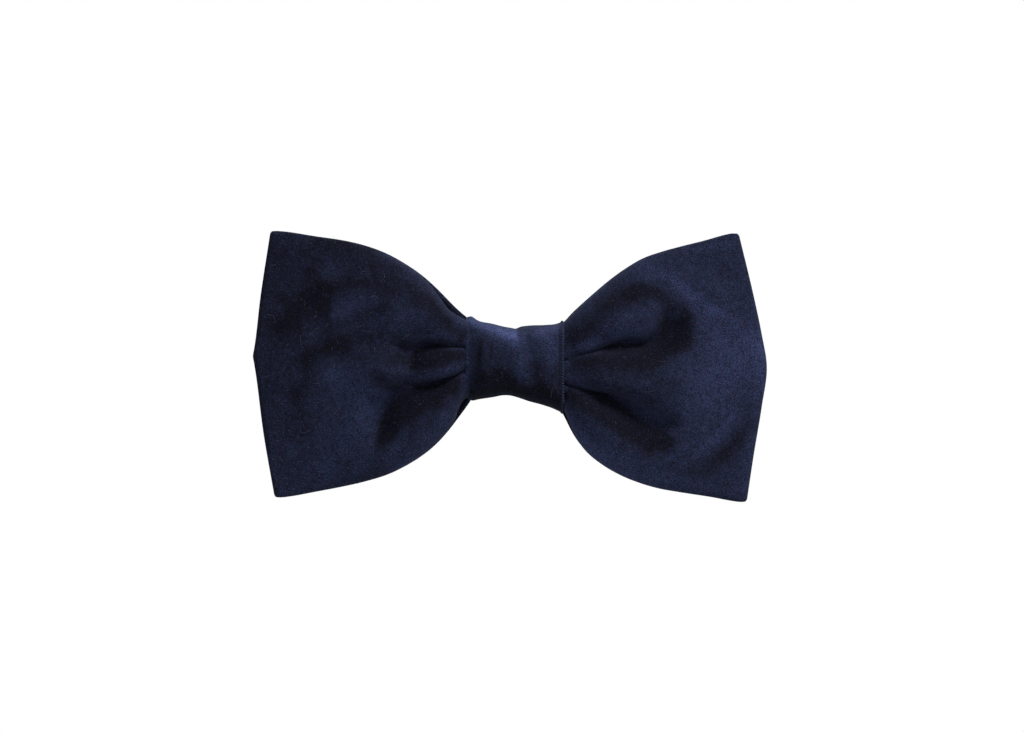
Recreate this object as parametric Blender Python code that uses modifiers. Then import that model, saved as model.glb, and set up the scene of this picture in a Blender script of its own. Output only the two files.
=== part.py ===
"""Pre-tied velvet bow tie with a hinged two-jaw collar clip.

Frame: metres, +Z up, +X to the wearer's left (the viewer's right), -Y is the front of the tie.
The origin is the middle of the raised pad on the back of the clip plate, which faces the collar.
The bow is one long flat velvet tube, stiffened inside, bent round into a ring: its front ply, the
two folds at the wing ends and its back ply. It is pinched at the middle by thread and by the knot band.
"""

import math

import bmesh
import bpy
from mathutils import Matrix, Vector

MM = 0.001

# ---- bow: one flat tube bent into a ring ------------------------------------------------------
Y_MID = -10.25  # plane between the front ply and the back ply
PLY_HALF = 1.35  # half the thickness of the flat velvet tube
CAVITY_HALF = 0.45  # half the thickness of the space inside the tube
LINER_HALF = 0.15  # half the thickness of the interlining
NOSE = 1.30  # how far the tube's folded long edges stand past its mid surface
FOLD_R = 1.90  # radius of the mid surface in the folds at the wing ends
END_GAP = 0.60  # half the gap between the tube's two raw ends, behind the knot
CORE_X = 13.2  # the wings start here, just outside the knot

# outline of the wings, as x and z in mm from the knot's edge to each corner
LEFT_TOP = [(-13.2, 9.0), (-15.4, 13.7), (-18.3, 17.3), (-24.1, 22.5), (-30.0, 26.1), (-37.8, 29.2), (-45.6, 30.7), (-59.5, 32.4)]
LEFT_LOW = [(-13.2, -7.6), (-15.4, -14.2), (-18.3, -18.3), (-24.1, -23.1), (-31.9, -27.2), (-39.7, -29.4), (-47.5, -30.8), (-58.5, -32.5)]
LEFT_MID = [(-13.2, 0.7), (-24.0, 1.0), (-44.0, 1.4), (-64.1, 1.7)]
RIGHT_TOP = [(13.2, 8.2), (15.4, 13.9), (18.8, 17.4), (22.7, 20.7), (30.5, 25.8), (38.3, 28.4), (46.1, 30.1), (54.6, 31.7)]
RIGHT_LOW = [(13.2, -10.4), (15.6, -19.0), (18.8, -23.2), (26.6, -27.9), (34.4, -30.4), (42.2, -31.7), (50.0, -32.9), (56.0, -33.6)]
RIGHT_MID = [(13.2, -1.2), (24.0, -1.0), (42.0, -0.7), (60.9, -0.5)]
CORE_TOP = [(-13.2, 9.0), (-6.0, 6.8), (0.0, 5.2), (6.0, 6.2), (13.2, 8.2)]
CORE_LOW = [(-13.2, -7.6), (-6.0, -5.6), (0.0, -4.4), (6.0, -6.6), (13.2, -10.4)]

# depth of the mid surface from Y_MID, along the wing from the knot to the end
DEPTH_FRONT = [(0.0, 4.6), (0.12, 6.0), (0.35, 8.0), (0.70, 5.0), (1.0, FOLD_R)]
DEPTH_BACK = [(0.0, 3.6), (0.12, 4.6), (0.35, 6.0), (0.70, 4.2), (1.0, FOLD_R)]
DEPTH_EDGE = [(0.0, 3.35), (0.12, 3.8), (0.35, 4.2), (0.70, 3.0), (1.0, FOLD_R)]
PLEATS = [(0.0, 0.55), (0.12, 1.0), (0.30, 1.4), (0.60, 0.5), (0.80, 0.0), (1.0, 0.0)]
CORE_DEPTH = 3.35
CORE_PLEAT = 0.28

WING_STEPS = 8
ACROSS = 11

# ---- knot -------------------------------------------------------------------------------------
KNOT_X = (-12.0, 12.0)
KNOT_TOP = [(-12.2, 11.4), (-9.0, 10.4), (-4.0, 9.4), (0.0, 8.9), (4.0, 9.4), (8.0, 9.6), (12.2, 10.6)]
KNOT_LOW = [(-12.2, -9.7), (-8.5, -8.6), (-3.0, -7.9), (0.0, -8.0), (4.0, -9.1), (8.0, -10.4), (12.2, -12.8)]
KNOT_FRONT = -21.4
KNOT_BACK = -1.4
KNOT_WALL = 1.6
KNOT_SQUARE = 4.0  # exponent of the knot's rounded section
SEAM_HALF = 0.6  # half the gap between the band's two ends, at the back
PAD = (15.0, 1.8, 8.4)  # wadding behind the front of the knot
PAD_Y = -18.2

# ---- threads ----------------------------------------------------------------------------------
GATHER_R = 0.40
GATHER_TURNS = 4
GATHER_PITCH = 1.15
SEW_R = 0.35
SEAM_R = 0.30
EDGE_R = 0.30

# ---- collar clip ------------------------------------------------------------------------------
PLATE = (46.0, 0.8, 11.4)  # length, thickness, height
PLATE_CORNER = 2.2
PLATE_BACK = -0.3  # the plate's rear face; its raised pad reaches 0
PAD_SIZE = (4.6, 7.6)
SEW_X, SEW_Z = 4.4, 3.0
SEW_HOLE = 0.85
HINGE_X, HINGE_Y = 9.0, 2.3
EAR_R, EAR_T = 1.9, 0.7
EAR_Z = 5.35  # middle of the plate's ears
JAW_EAR_Z = 4.35
JAW_HALF = 4.7
JAW_T = 0.7
PIN_R, PIN_HALF = 0.80, 5.95
EAR_HOLE = 0.88
SPRING_R, SPRING_WIRE, SPRING_TURNS = 1.35, 0.25, 4


def clear_scene():
    for obj in list(bpy.data.objects):
        bpy.data.objects.remove(obj, do_unlink=True)


def collection(name):
    made = bpy.data.collections.new(name)
    bpy.context.scene.collection.children.link(made)
    return made


def material(name, colour, roughness, metallic=0.0):
    made = bpy.data.materials.new(name)
    made.use_nodes = True
    shader = made.node_tree.nodes["Principled BSDF"]
    shader.inputs["Base Color"].default_value = (*colour, 1.0)
    shader.inputs["Roughness"].default_value = roughness
    shader.inputs["Metallic"].default_value = metallic
    made.diffuse_color = (*colour, 1.0)
    return made


def through(points, at):
    """A smooth curve through (parameter, value...) rows, read at one parameter (Catmull-Rom)."""
    n = len(points)
    k = 0
    while k < n - 2 and (at - points[k + 1][0]) * (points[-1][0] - points[0][0]) > 0:
        k += 1
    p0, p1, p2, p3 = (points[min(max(k + d, 0), n - 1)] for d in (-1, 0, 1, 2))
    span = p2[0] - p1[0]
    f = min(max((at - p1[0]) / span, 0.0), 1.0)

    def slope(a, b, i):
        return (b[i] - a[i]) / (b[0] - a[0]) if b[0] != a[0] else 0.0

    values = []
    for i in range(1, len(p1)):
        m1, m2 = slope(p0, p2, i) * span, slope(p1, p3, i) * span
        values.append(
            (2 * f**3 - 3 * f**2 + 1) * p1[i]
            + (f**3 - 2 * f**2 + f) * m1
            + (-2 * f**3 + 3 * f**2) * p2[i]
            + (f**3 - f**2) * m2
        )
    return values[0] if len(values) == 1 else values


def by_length(points):
    """Rows of (share of the length, x, z) for an outline given as (x, z)."""
    along = [0.0]
    for a, b in zip(points, points[1:]):
        along.append(along[-1] + math.dist(a, b))
    return [(length / along[-1], *p) for length, p in zip(along, points)]


OUTLINES = {
    (1, "top"): by_length(RIGHT_TOP),
    (1, "low"): by_length(RIGHT_LOW),
    (1, "mid"): by_length(RIGHT_MID),
    (-1, "top"): by_length(LEFT_TOP),
    (-1, "low"): by_length(LEFT_LOW),
    (-1, "mid"): by_length(LEFT_MID),
}


def between(low, mid, top, t):
    """The point at height t (-1 to 1) between three points given as (x, z)."""
    edge = top if t > 0 else low
    return [m + (e - m) * abs(t) for m, e in zip(mid, edge)]


def wave(t):
    """The pleats across the tube: ridges at -0.8, 0 and 0.8, valleys at -0.4 and 0.4."""
    return math.cos(2.5 * math.pi * t)


def wing_point(side, ply, s, t, past=0.0):
    """Mid surface of a wing: side -1 left or 1 right, ply -1 front or 1 back, s from knot to end."""
    inset = (PLY_HALF + FOLD_R) * s
    low, mid, top = (
        through(OUTLINES[(side, name)], s) for name in ("low", "mid", "top")
    )
    low, mid, top = (
        (low[0] - side * inset, low[1] + NOSE),
        (mid[0] - side * inset, mid[1]),
        (top[0] - side * inset, top[1] - NOSE),
    )
    x, z = between(low, mid, top, t)
    edge = through(DEPTH_EDGE, s)
    full = through(DEPTH_FRONT if ply < 0 else DEPTH_BACK, s)
    depth = edge + (full - edge) * (1 - t * t) + through(PLEATS, s) * wave(t)
    return Vector((x, Y_MID + ply * depth, z))


def core_point(ply, x, t):
    """Mid surface of the tube where it passes through the knot."""
    share = abs(x) / CORE_X
    full = DEPTH_FRONT[0][1] if ply < 0 else DEPTH_BACK[0][1]
    depth = CORE_DEPTH + (full - CORE_DEPTH) * share**3 * (1 - t * t)
    depth += (CORE_PLEAT + (PLEATS[0][1] - CORE_PLEAT) * share**2) * wave(t)
    low, top = through(CORE_LOW, x) + NOSE, through(CORE_TOP, x) - NOSE
    middle = through([(-CORE_X, LEFT_MID[0][1]), (0.0, 0.2), (CORE_X, RIGHT_MID[0][1])], x)
    z = middle + ((top if t > 0 else low) - middle) * abs(t)
    return Vector((x, Y_MID + ply * depth, z))


def fold_point(side, angle, t):
    """The fold at a wing's end, from the front ply (0) to the back ply (pi)."""
    p = wing_point(side, -1, 1.0, t)
    return Vector(
        (
            p.x + side * FOLD_R * math.sin(angle),
            Y_MID - FOLD_R * math.cos(angle),
            p.z,
        )
    )


def ring_stations(end_gap):
    """Functions of t, one for each station, round the ring from raw end to raw end."""
    made = []
    core_back = [end_gap, 4.2, 8.4]
    core_front = [8.4, 4.2, 0.0, -4.2, -8.4]
    shares = [k / WING_STEPS for k in range(WING_STEPS + 1)]
    bends = [math.pi * k / 4 for k in range(1, 4)]
    for x in core_back:
        made.append(lambda t, x=x: core_point(1, x, t))
    for s in shares:
        made.append(lambda t, s=s: wing_point(1, 1, s, t))
    for a in reversed(bends):
        made.append(lambda t, a=a: fold_point(1, a, t))
    for s in reversed(shares):
        made.append(lambda t, s=s: wing_point(1, -1, s, t))
    for x in core_front:
        made.append(lambda t, x=x: core_point(-1, x, t))
    for s in shares:
        made.append(lambda t, s=s: wing_point(-1, -1, s, t))
    for a in bends:
        made.append(lambda t, a=a: fold_point(-1, a, t))
    for s in reversed(shares):
        made.append(lambda t, s=s: wing_point(-1, 1, s, t))
    for x in reversed(core_back):
        made.append(lambda t, x=x: core_point(1, -x, t))
    return made


def tube_rings(stations, half, reach, nose):
    """Flat closed rings of points round the mid surface, one for each station."""
    heights = [reach * (2 * i / (ACROSS - 1) - 1) for i in range(ACROSS)]
    grid = [[station(t) for t in heights] for station in stations]
    rings = []
    for k, row in enumerate(grid):
        before, after = grid[max(k - 1, 0)], grid[min(k + 1, len(grid) - 1)]
        outer, inner = [], []
        for i, p in enumerate(row):
            along = (after[i] - p).normalized() + (p - before[i]).normalized()
            across = row[min(i + 1, ACROSS - 1)] - row[max(i - 1, 0)]
            normal = along.cross(across).normalized()
            thick = half * (0.82 if i in (0, ACROSS - 1) else 1.0)
            outer.append(p + normal * thick)
            inner.append(p - normal * thick)
        up = (row[-1] - row[-2]).normalized() * nose
        down = (row[0] - row[1]).normalized() * nose
        rings.append(outer + [row[-1] + up] + inner[::-1] + [row[0] + down])
    return rings


def add_rings(bm, rings):
    rows = [[bm.verts.new(p * MM) for p in ring] for ring in rings]
    for a, b in zip(rows, rows[1:]):
        for i in range(len(a)):
            j = (i + 1) % len(a)
            bm.faces.new((a[i], a[j], b[j], b[i]))
    return rows


def object_from(bm, name, mat, where):
    bmesh.ops.recalc_face_normals(bm, faces=bm.faces)
    mesh = bpy.data.meshes.new(name)
    bm.to_mesh(mesh)
    bm.free()
    mesh.shade_smooth()
    mesh.set_sharp_from_angle(angle=math.radians(50))
    mesh.materials.append(mat)
    obj = bpy.data.objects.new(name, mesh)
    where.objects.link(obj)
    return obj


def velvet_tube(mat, where):
    """The bow's velvet: a flat hose, open at its two raw ends, bent into a ring."""
    stations = ring_stations(END_GAP)
    bm = bmesh.new()
    outer = add_rings(bm, tube_rings(stations, PLY_HALF, 1.0, NOSE))
    inner = add_rings(bm, tube_rings(stations, CAVITY_HALF, 0.93, 0.3))
    for k in (0, -1):
        a, b = outer[k], inner[k]
        for i in range(len(a)):
            j = (i + 1) % len(a)
            bm.faces.new((a[i], a[j], b[j], b[i]))
    return object_from(bm, "bow_velvet", mat, where)


def interlining(mat, where):
    stations = ring_stations(END_GAP + 0.4)
    bm = bmesh.new()
    rows = add_rings(bm, tube_rings(stations, LINER_HALF, 0.90, 0.12))
    n = ACROSS
    for k in (0, -1):
        # a cap's corners: outer side 0 to n-1, upper nose n, inner side n+1 to 2n, lower nose 2n+1
        cap = rows[k]
        for i in range(n - 1):
            bm.faces.new((cap[i], cap[i + 1], cap[2 * n - i - 1], cap[2 * n - i]))
        bm.faces.new((cap[n - 1], cap[n], cap[n + 1]))
        bm.faces.new((cap[0], cap[2 * n], cap[2 * n + 1]))
    return object_from(bm, "bow_interlining", mat, where)


def knot_section(x, angle, inward=0.0):
    """A point of the knot's rounded section at x; angle 0 is the back, a quarter turn is the top."""
    top, low = through(KNOT_TOP, x) - inward, through(KNOT_LOW, x) + inward
    half_y = (KNOT_BACK - KNOT_FRONT) / 2 - inward
    c, s = math.cos(angle), math.sin(angle)
    y = math.copysign(abs(c) ** (2 / KNOT_SQUARE), c)
    z = math.copysign(abs(s) ** (2 / KNOT_SQUARE), s)
    return Vector(
        (
            x,
            (KNOT_BACK + KNOT_FRONT) / 2 + half_y * y,
            (top + low) / 2 + (top - low) / 2 * z,
        )
    )


def knot_band(mat, where):
    """The velvet band round the middle: an open strip whose ends meet at the back."""
    around, wide = 32, 9
    bm = bmesh.new()
    rows = []
    for i in range(wide):
        x = KNOT_X[0] + (KNOT_X[1] - KNOT_X[0]) * i / (wide - 1)
        half = (through(KNOT_TOP, x) - through(KNOT_LOW, x)) / 2
        start = math.asin(min(1.0, (SEAM_HALF / half)) ** (KNOT_SQUARE / 2))
        rows.append(
            [
                bm.verts.new(
                    knot_section(x, start + (2 * math.pi - 2 * start) * k / around) * MM
                )
                for k in range(around + 1)
            ]
        )
    for a, b in zip(rows, rows[1:]):
        for k in range(around):
            bm.faces.new((a[k], a[k + 1], b[k + 1], b[k]))
    band = object_from(bm, "knot_band", mat, where)
    thick = band.modifiers.new("thickness", "SOLIDIFY")
    thick.thickness = KNOT_WALL * MM
    thick.offset = -1.0
    thick.use_even_offset = True
    return band


def primitive_box(name, size, at, mat, where, bevel=0.0, segments=2):
    bm = bmesh.new()
    bmesh.ops.create_cube(bm, size=1.0)
    bmesh.ops.scale(bm, vec=Vector(size) * MM, verts=bm.verts)
    bmesh.ops.translate(bm, vec=Vector(at) * MM, verts=bm.verts)
    obj = object_from(bm, name, mat, where)
    if bevel:
        edge = obj.modifiers.new("edges", "BEVEL")
        edge.width = bevel * MM
        edge.segments = segments
        edge.limit_method = "ANGLE"
    return obj


def primitive_rod(name, radius, low, high, centre, mat, where, sides=24):
    """A cylinder along Z from low to high, through centre = (x, y)."""
    bm = bmesh.new()
    bmesh.ops.create_cone(
        bm,
        cap_ends=True,
        segments=sides,
        radius1=radius * MM,
        radius2=radius * MM,
        depth=(high - low) * MM,
    )
    bmesh.ops.translate(
        bm, vec=Vector((centre[0], centre[1], (low + high) / 2)) * MM, verts=bm.verts
    )
    return object_from(bm, name, mat, where)


def helper(obj):
    obj.hide_render = True
    obj.display_type = "WIRE"
    return obj


def boolean(obj, other, operation):
    step = obj.modifiers.new(other.name, "BOOLEAN")
    step.operation = operation
    step.solver = "EXACT"
    step.object = other
    return obj


def wire(name, points, radius, mat, where, cyclic=False, resolution=2):
    curve = bpy.data.curves.new(name, "CURVE")
    curve.dimensions = "3D"
    curve.bevel_depth = radius * MM
    curve.bevel_resolution = resolution
    curve.use_fill_caps = not cyclic
    line = curve.splines.new("POLY")
    line.points.add(len(points) - 1)
    for p, q in zip(line.points, points):
        p.co = (*(Vector(q) * MM), 1.0)
    line.use_cyclic_u = cyclic
    curve.materials.append(mat)
    obj = bpy.data.objects.new(name, curve)
    where.objects.link(obj)
    return obj


def as_mesh(obj, where):
    """The evaluated shape of a curve as a welded mesh object of the same name and place."""
    bpy.context.view_layer.update()
    graph = bpy.context.evaluated_depsgraph_get()
    mesh = bpy.data.meshes.new_from_object(obj.evaluated_get(graph))
    place, name = obj.matrix_world.copy(), obj.name
    bpy.data.objects.remove(obj, do_unlink=True)
    bm = bmesh.new()
    bm.from_mesh(mesh)
    bmesh.ops.remove_doubles(bm, verts=bm.verts, dist=0.00001)
    bmesh.ops.recalc_face_normals(bm, faces=bm.faces)
    bm.to_mesh(mesh)
    bm.free()
    made = bpy.data.objects.new(name, mesh)
    made.matrix_world = place
    where.objects.link(made)
    return made


def rounded_outline(half_x, half_z, corner, steps=4):
    points = []
    for cx, cz, first in (
        (half_x - corner, half_z - corner, 0.0),
        (-half_x + corner, half_z - corner, 0.5),
        (-half_x + corner, -half_z + corner, 1.0),
        (half_x - corner, -half_z + corner, 1.5),
    ):
        for k in range(steps + 1):
            a = math.pi * (first + 0.5 * k / steps)
            points.append((cx + corner * math.cos(a), cz + corner * math.sin(a)))
    return points


def flat_outline(name, points, thickness, centre_y, mat, where):
    """A flat outline given as (x, z), cut from sheet of this thickness, as a mesh."""
    curve = bpy.data.curves.new(name, "CURVE")
    curve.dimensions = "2D"
    curve.fill_mode = "BOTH"
    curve.extrude = thickness / 2 * MM
    line = curve.splines.new("POLY")
    line.points.add(len(points) - 1)
    for p, (x, z) in zip(line.points, points):
        p.co = (x * MM, z * MM, 0.0, 1.0)
    line.use_cyclic_u = True
    curve.materials.append(mat)
    obj = bpy.data.objects.new(name, curve)
    where.objects.link(obj)
    obj.rotation_euler = (math.pi / 2, 0.0, 0.0)
    obj.location = (0.0, centre_y * MM, 0.0)
    return as_mesh(obj, where)


def ear(name, z, x, hinge_y, foot_y, mat, where, sides=20):
    """A round-topped lug across the hinge, standing from foot_y to the hinge axis."""
    disc = primitive_rod(name + "_round", EAR_R, z - EAR_T / 2, z + EAR_T / 2, (x, hinge_y), mat, where, sides)
    web = primitive_box(
        name + "_web",
        (2 * EAR_R * 0.98, abs(hinge_y - foot_y), EAR_T - 0.02),
        (x, (hinge_y + foot_y) / 2, z),
        mat,
        where,
    )
    return [helper(disc), helper(web)]


def clip_plate(mat, where, cutters):
    plate = flat_outline(
        "clip_plate",
        rounded_outline(PLATE[0] / 2, PLATE[2] / 2, PLATE_CORNER),
        PLATE[1],
        PLATE_BACK - PLATE[1] / 2,
        mat,
        where,
    )
    for side in (-1, 1):
        for z in (-EAR_Z, EAR_Z):
            for piece in ear(
                f"plate_ear_{side}_{z}", z, side * HINGE_X, HINGE_Y, PLATE_BACK - 0.5, mat, cutters
            ):
                boolean(plate, piece, "UNION")
    raised = primitive_box(
        "plate_pad",
        (PAD_SIZE[0], 0.8, PAD_SIZE[1]),
        (0.0, -0.4, 0.0),
        mat,
        cutters,
    )
    boolean(plate, helper(raised), "UNION")
    for side in (-1, 1):
        bore = primitive_rod(
            f"plate_bore_{side}", EAR_HOLE, -8, 8, (side * HINGE_X, HINGE_Y), mat, cutters
        )
        boolean(plate, helper(bore), "DIFFERENCE")
        for z in (-SEW_Z, SEW_Z):
            hole = primitive_rod(f"plate_hole_{side}_{z}", SEW_HOLE, -3, 3, (0, 0), mat, cutters, 16)
            hole.rotation_euler = (math.pi / 2, 0.0, 0.0)
            hole.location = (side * SEW_X * MM, -0.7 * MM, z * MM)
            boolean(plate, helper(hole), "DIFFERENCE")
    return plate


def jaw_line():
    """The bent sheet of a jaw in side view, as (x, y) from the hinge: thumb tab, back, arm and lip."""
    return [(-6.4, 3.4), (-4.6, 2.9), (-2.6, 2.35), (1.6, 2.35), (5.0, 1.35), (9.0, 0.1), (12.2, -0.75), (13.1, -1.25), (13.4, -1.95)]


def jaw(name, mat, where, cutters):
    """A jaw modelled about its own hinge axis."""
    curve = bpy.data.curves.new(name, "CURVE")
    curve.dimensions = "3D"
    curve.extrude = JAW_HALF * MM
    line = curve.splines.new("POLY")
    points = jaw_line()
    line.points.add(len(points) - 1)
    for p, (x, y) in zip(line.points, points):
        p.co = (x * MM, y * MM, 0.0, 1.0)
    curve.materials.append(mat)
    ribbon = bpy.data.objects.new(name, curve)
    where.objects.link(ribbon)
    made = as_mesh(ribbon, where)
    thick = made.modifiers.new("thickness", "SOLIDIFY")
    thick.thickness = JAW_T * MM
    thick.offset = 0.0
    thick.use_even_offset = True
    for z in (-JAW_EAR_Z, JAW_EAR_Z):
        for piece in ear(f"{name}_ear_{z}", z, 0.0, 0.0, 2.5, mat, cutters):
            boolean(made, piece, "UNION")
    bore = primitive_rod(f"{name}_bore", EAR_HOLE, -8, 8, (0, 0), mat, cutters)
    boolean(made, helper(bore), "DIFFERENCE")
    notches = bmesh.new()
    for k in range(-2, 3):
        cut = bmesh.ops.create_cube(notches, size=1.0)["verts"]
        bmesh.ops.scale(notches, vec=Vector((2.4, 1.4, 0.9)) * MM, verts=cut)
        bmesh.ops.translate(notches, vec=Vector((13.5, -2.25, 1.8 * k)) * MM, verts=cut)
    boolean(made, helper(object_from(notches, f"{name}_notches", mat, cutters)), "DIFFERENCE")
    return made


def hinge_pin(name, mat, where, cutters):
    """A riveted pin: its shaft and two heads, about its own axis."""
    pin = primitive_rod(name, PIN_R, -PIN_HALF - 0.2, PIN_HALF + 0.2, (0, 0), mat, where, 20)
    for sign in (-1, 1):
        low, high = sorted((sign * PIN_HALF, sign * (PIN_HALF + 0.55)))
        head = primitive_rod(f"{name}_head_{sign}", 1.35, low, high, (0, 0), mat, cutters, 20)
        boolean(pin, helper(head), "UNION")
    return pin


def spring_line():
    """A torsion spring about the hinge: a leg on the plate, the coil, and a leg under the thumb tab."""
    points = []
    per_turn = 12
    steps = int(SPRING_TURNS * per_turn + per_turn / 2)
    height = SPRING_TURNS * 0.85
    points.append((-3.6, -HINGE_Y + PLATE_BACK + 0.3 + SPRING_WIRE, -height / 2))
    points.append((-2.4, -1.62, -height / 2))
    for k in range(steps + 1):
        a = -math.pi / 2 + 2 * math.pi * k / per_turn
        z = -height / 2 + height * k / steps
        points.append((SPRING_R * math.cos(a), SPRING_R * math.sin(a), z))
    points.append((-2.2, 1.6, height / 2))
    points.append((-5.0, 2.2, height / 2))
    return points


def place_pair(make, stem, *args):
    """Right and left copies of a clip piece: the left one is the right one turned over about Y."""
    right = make(f"right_{stem}", *args)
    right.location = (HINGE_X * MM, HINGE_Y * MM, 0.0)
    left = make(f"left_{stem}", *args)
    left.location = (-HINGE_X * MM, HINGE_Y * MM, 0.0)
    left.rotation_euler = (0.0, math.pi, 0.0)
    bpy.context.view_layer.update()
    for obj in (right, left):
        for step in obj.modifiers:
            if step.type == "BOOLEAN" and step.object.parent is None:
                step.object.parent = obj
    return right, left


def loop_round_core():
    """The gathering thread: turns round the pinched middle of the bow."""
    points = []
    per_turn = 16
    half_y = CORE_DEPTH + PLY_HALF + CORE_PLEAT + 0.5 + GATHER_R
    top, low = through(CORE_TOP, 0.0) + 0.45 + GATHER_R, through(CORE_LOW, 0.0) - 0.45 - GATHER_R
    steps = GATHER_TURNS * per_turn
    for k in range(steps + 1):
        a = 2 * math.pi * k / per_turn
        x = GATHER_PITCH * (k / per_turn - GATHER_TURNS / 2)
        lift = 1.0 + 0.04 * abs(x) / 2.3
        c, s = math.cos(a), math.sin(a)
        y = math.copysign(abs(c) ** 0.5, c)
        z = math.copysign(abs(s) ** 0.5, s)
        points.append((x, Y_MID + half_y * y, (top + low) / 2 + (top - low) / 2 * lift * z))
    return points


def sewing_ring(x):
    """A closed stitch through two holes of the plate and the back of the knot band."""
    front = KNOT_BACK - KNOT_WALL - 0.35 - SEW_R
    rear = PLATE_BACK + 0.3 + SEW_R
    corner = 0.5
    points = []
    for cy, cz, first in (
        (rear - corner, SEW_Z - corner, 0.0),
        (front + corner, SEW_Z - corner, 0.5),
        (front + corner, -SEW_Z + corner, 1.0),
        (rear - corner, -SEW_Z + corner, 1.5),
    ):
        for k in range(4):
            a = math.pi * (first + 0.5 * k / 3)
            points.append((x, cy + corner * math.cos(a), cz + corner * math.sin(a)))
    return points


def seam_line():
    """The thread that closes the band, lying in the seam at the back of the knot."""
    points = []
    for k in range(13):
        x = KNOT_X[0] + 0.8 + (KNOT_X[1] - KNOT_X[0] - 1.6) * k / 12
        z = (through(KNOT_TOP, x) + through(KNOT_LOW, x)) / 2
        points.append((x, KNOT_BACK - KNOT_WALL / 2 - 0.05, z))
    return points


def edge_line():
    """The overcast thread along the band's right edge, from the top round the front to the bottom."""
    points = []
    for k in range(21):
        a = math.pi * (0.52 + 0.86 * k / 20)
        p = knot_section(KNOT_X[1], a, KNOT_WALL * 0.35)
        points.append((KNOT_X[1] + 0.72 + EDGE_R, p.y, p.z))
    return points


def main():
    clear_scene()
    parts, cutters = collection("bow_tie"), collection("cutters")
    velvet = material("navy_velvet", (0.012, 0.015, 0.034), 0.9)
    liner = material("interlining", (0.62, 0.60, 0.55), 0.95)
    wadding = material("wadding", (0.70, 0.69, 0.66), 1.0)
    thread = material("navy_thread", (0.018, 0.022, 0.055), 0.7)
    steel = material("nickel_steel", (0.62, 0.61, 0.58), 0.28, 1.0)
    spring_steel = material("spring_steel", (0.45, 0.45, 0.46), 0.35, 1.0)

    velvet_tube(velvet, parts)
    interlining(liner, parts)
    band = knot_band(velvet, parts)
    for side in (-1, 1):
        for z in (-SEW_Z, SEW_Z):
            hole = primitive_rod(f"band_hole_{side}_{z}", 0.72, -1.6, 1.6, (0, 0), velvet, cutters, 14)
            hole.rotation_euler = (math.pi / 2, 0.0, 0.0)
            hole.location = (side * SEW_X * MM, (KNOT_BACK - KNOT_WALL / 2) * MM, z * MM)
            boolean(band, helper(hole), "DIFFERENCE")
    primitive_box("knot_pad", PAD, (0.0, PAD_Y, 0.4), wadding, parts, bevel=0.7)

    wire("gather_thread", loop_round_core(), GATHER_R, thread, parts)
    wire("bow_end_thread", [(0.0, Y_MID + CORE_DEPTH, z) for z in (-3.4, -1.7, 0.0, 1.9, 3.9)], 0.28, thread, parts)
    wire("knot_seam_thread", seam_line(), SEAM_R, thread, parts)
    wire("knot_edge_thread", edge_line(), EDGE_R, thread, parts)
    wire("clip_thread_left", sewing_ring(-SEW_X), SEW_R, thread, parts, cyclic=True)
    wire("clip_thread_right", sewing_ring(SEW_X), SEW_R, thread, parts, cyclic=True)

    clip_plate(steel, parts, cutters)
    place_pair(jaw, "jaw", steel, parts, cutters)
    place_pair(hinge_pin, "hinge_pin", steel, parts, cutters)
    place_pair(
        lambda name, mat, where: wire(name, spring_line(), SPRING_WIRE, mat, where),
        "spring",
        spring_steel,
        parts,
    )


main()
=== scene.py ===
"""The looks of the velvet bow tie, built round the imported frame.

Lengths in this script are millimetres until the last moment, in the frame of the CAD: +X along the
bow, -Y its front, +Z up, and the origin on the rear of the clip, where it rests against the collar.
"""

import math

import bmesh
import bpy
import numpy as np
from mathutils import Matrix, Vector


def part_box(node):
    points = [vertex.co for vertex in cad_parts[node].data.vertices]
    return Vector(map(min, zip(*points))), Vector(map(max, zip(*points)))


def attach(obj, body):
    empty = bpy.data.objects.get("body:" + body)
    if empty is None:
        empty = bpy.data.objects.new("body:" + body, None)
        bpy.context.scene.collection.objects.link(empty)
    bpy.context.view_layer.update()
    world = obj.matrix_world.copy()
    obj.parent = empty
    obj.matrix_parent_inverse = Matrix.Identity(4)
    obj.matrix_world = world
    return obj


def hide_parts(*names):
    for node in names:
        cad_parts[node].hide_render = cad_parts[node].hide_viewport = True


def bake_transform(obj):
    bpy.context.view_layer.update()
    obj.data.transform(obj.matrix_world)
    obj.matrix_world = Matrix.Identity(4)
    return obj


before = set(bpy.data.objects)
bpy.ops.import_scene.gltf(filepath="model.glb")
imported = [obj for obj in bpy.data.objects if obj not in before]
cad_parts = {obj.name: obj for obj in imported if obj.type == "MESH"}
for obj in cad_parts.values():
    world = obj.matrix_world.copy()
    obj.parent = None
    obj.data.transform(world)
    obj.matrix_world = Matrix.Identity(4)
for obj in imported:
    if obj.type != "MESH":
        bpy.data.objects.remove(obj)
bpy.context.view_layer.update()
MM = 0.001
BOW_LOW, BOW_HIGH = (np.array(corner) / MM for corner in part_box("bow_velvet"))
KNOT_LOW, KNOT_HIGH = (np.array(corner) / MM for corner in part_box("knot_band"))
EYE = np.array([-1.22, -703.0, -0.49])  # where the camera stands
Y_MID = -10.25
EYE_TO_MID = Y_MID - EYE[1]

# ------------------------------------------------------------------------------------------------
# small numeric helpers


def smooth(a, b, x):
    t = np.clip((np.asarray(x, float) - a) / (b - a), 0.0, 1.0)
    return t * t * (3 - 2 * t)


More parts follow.
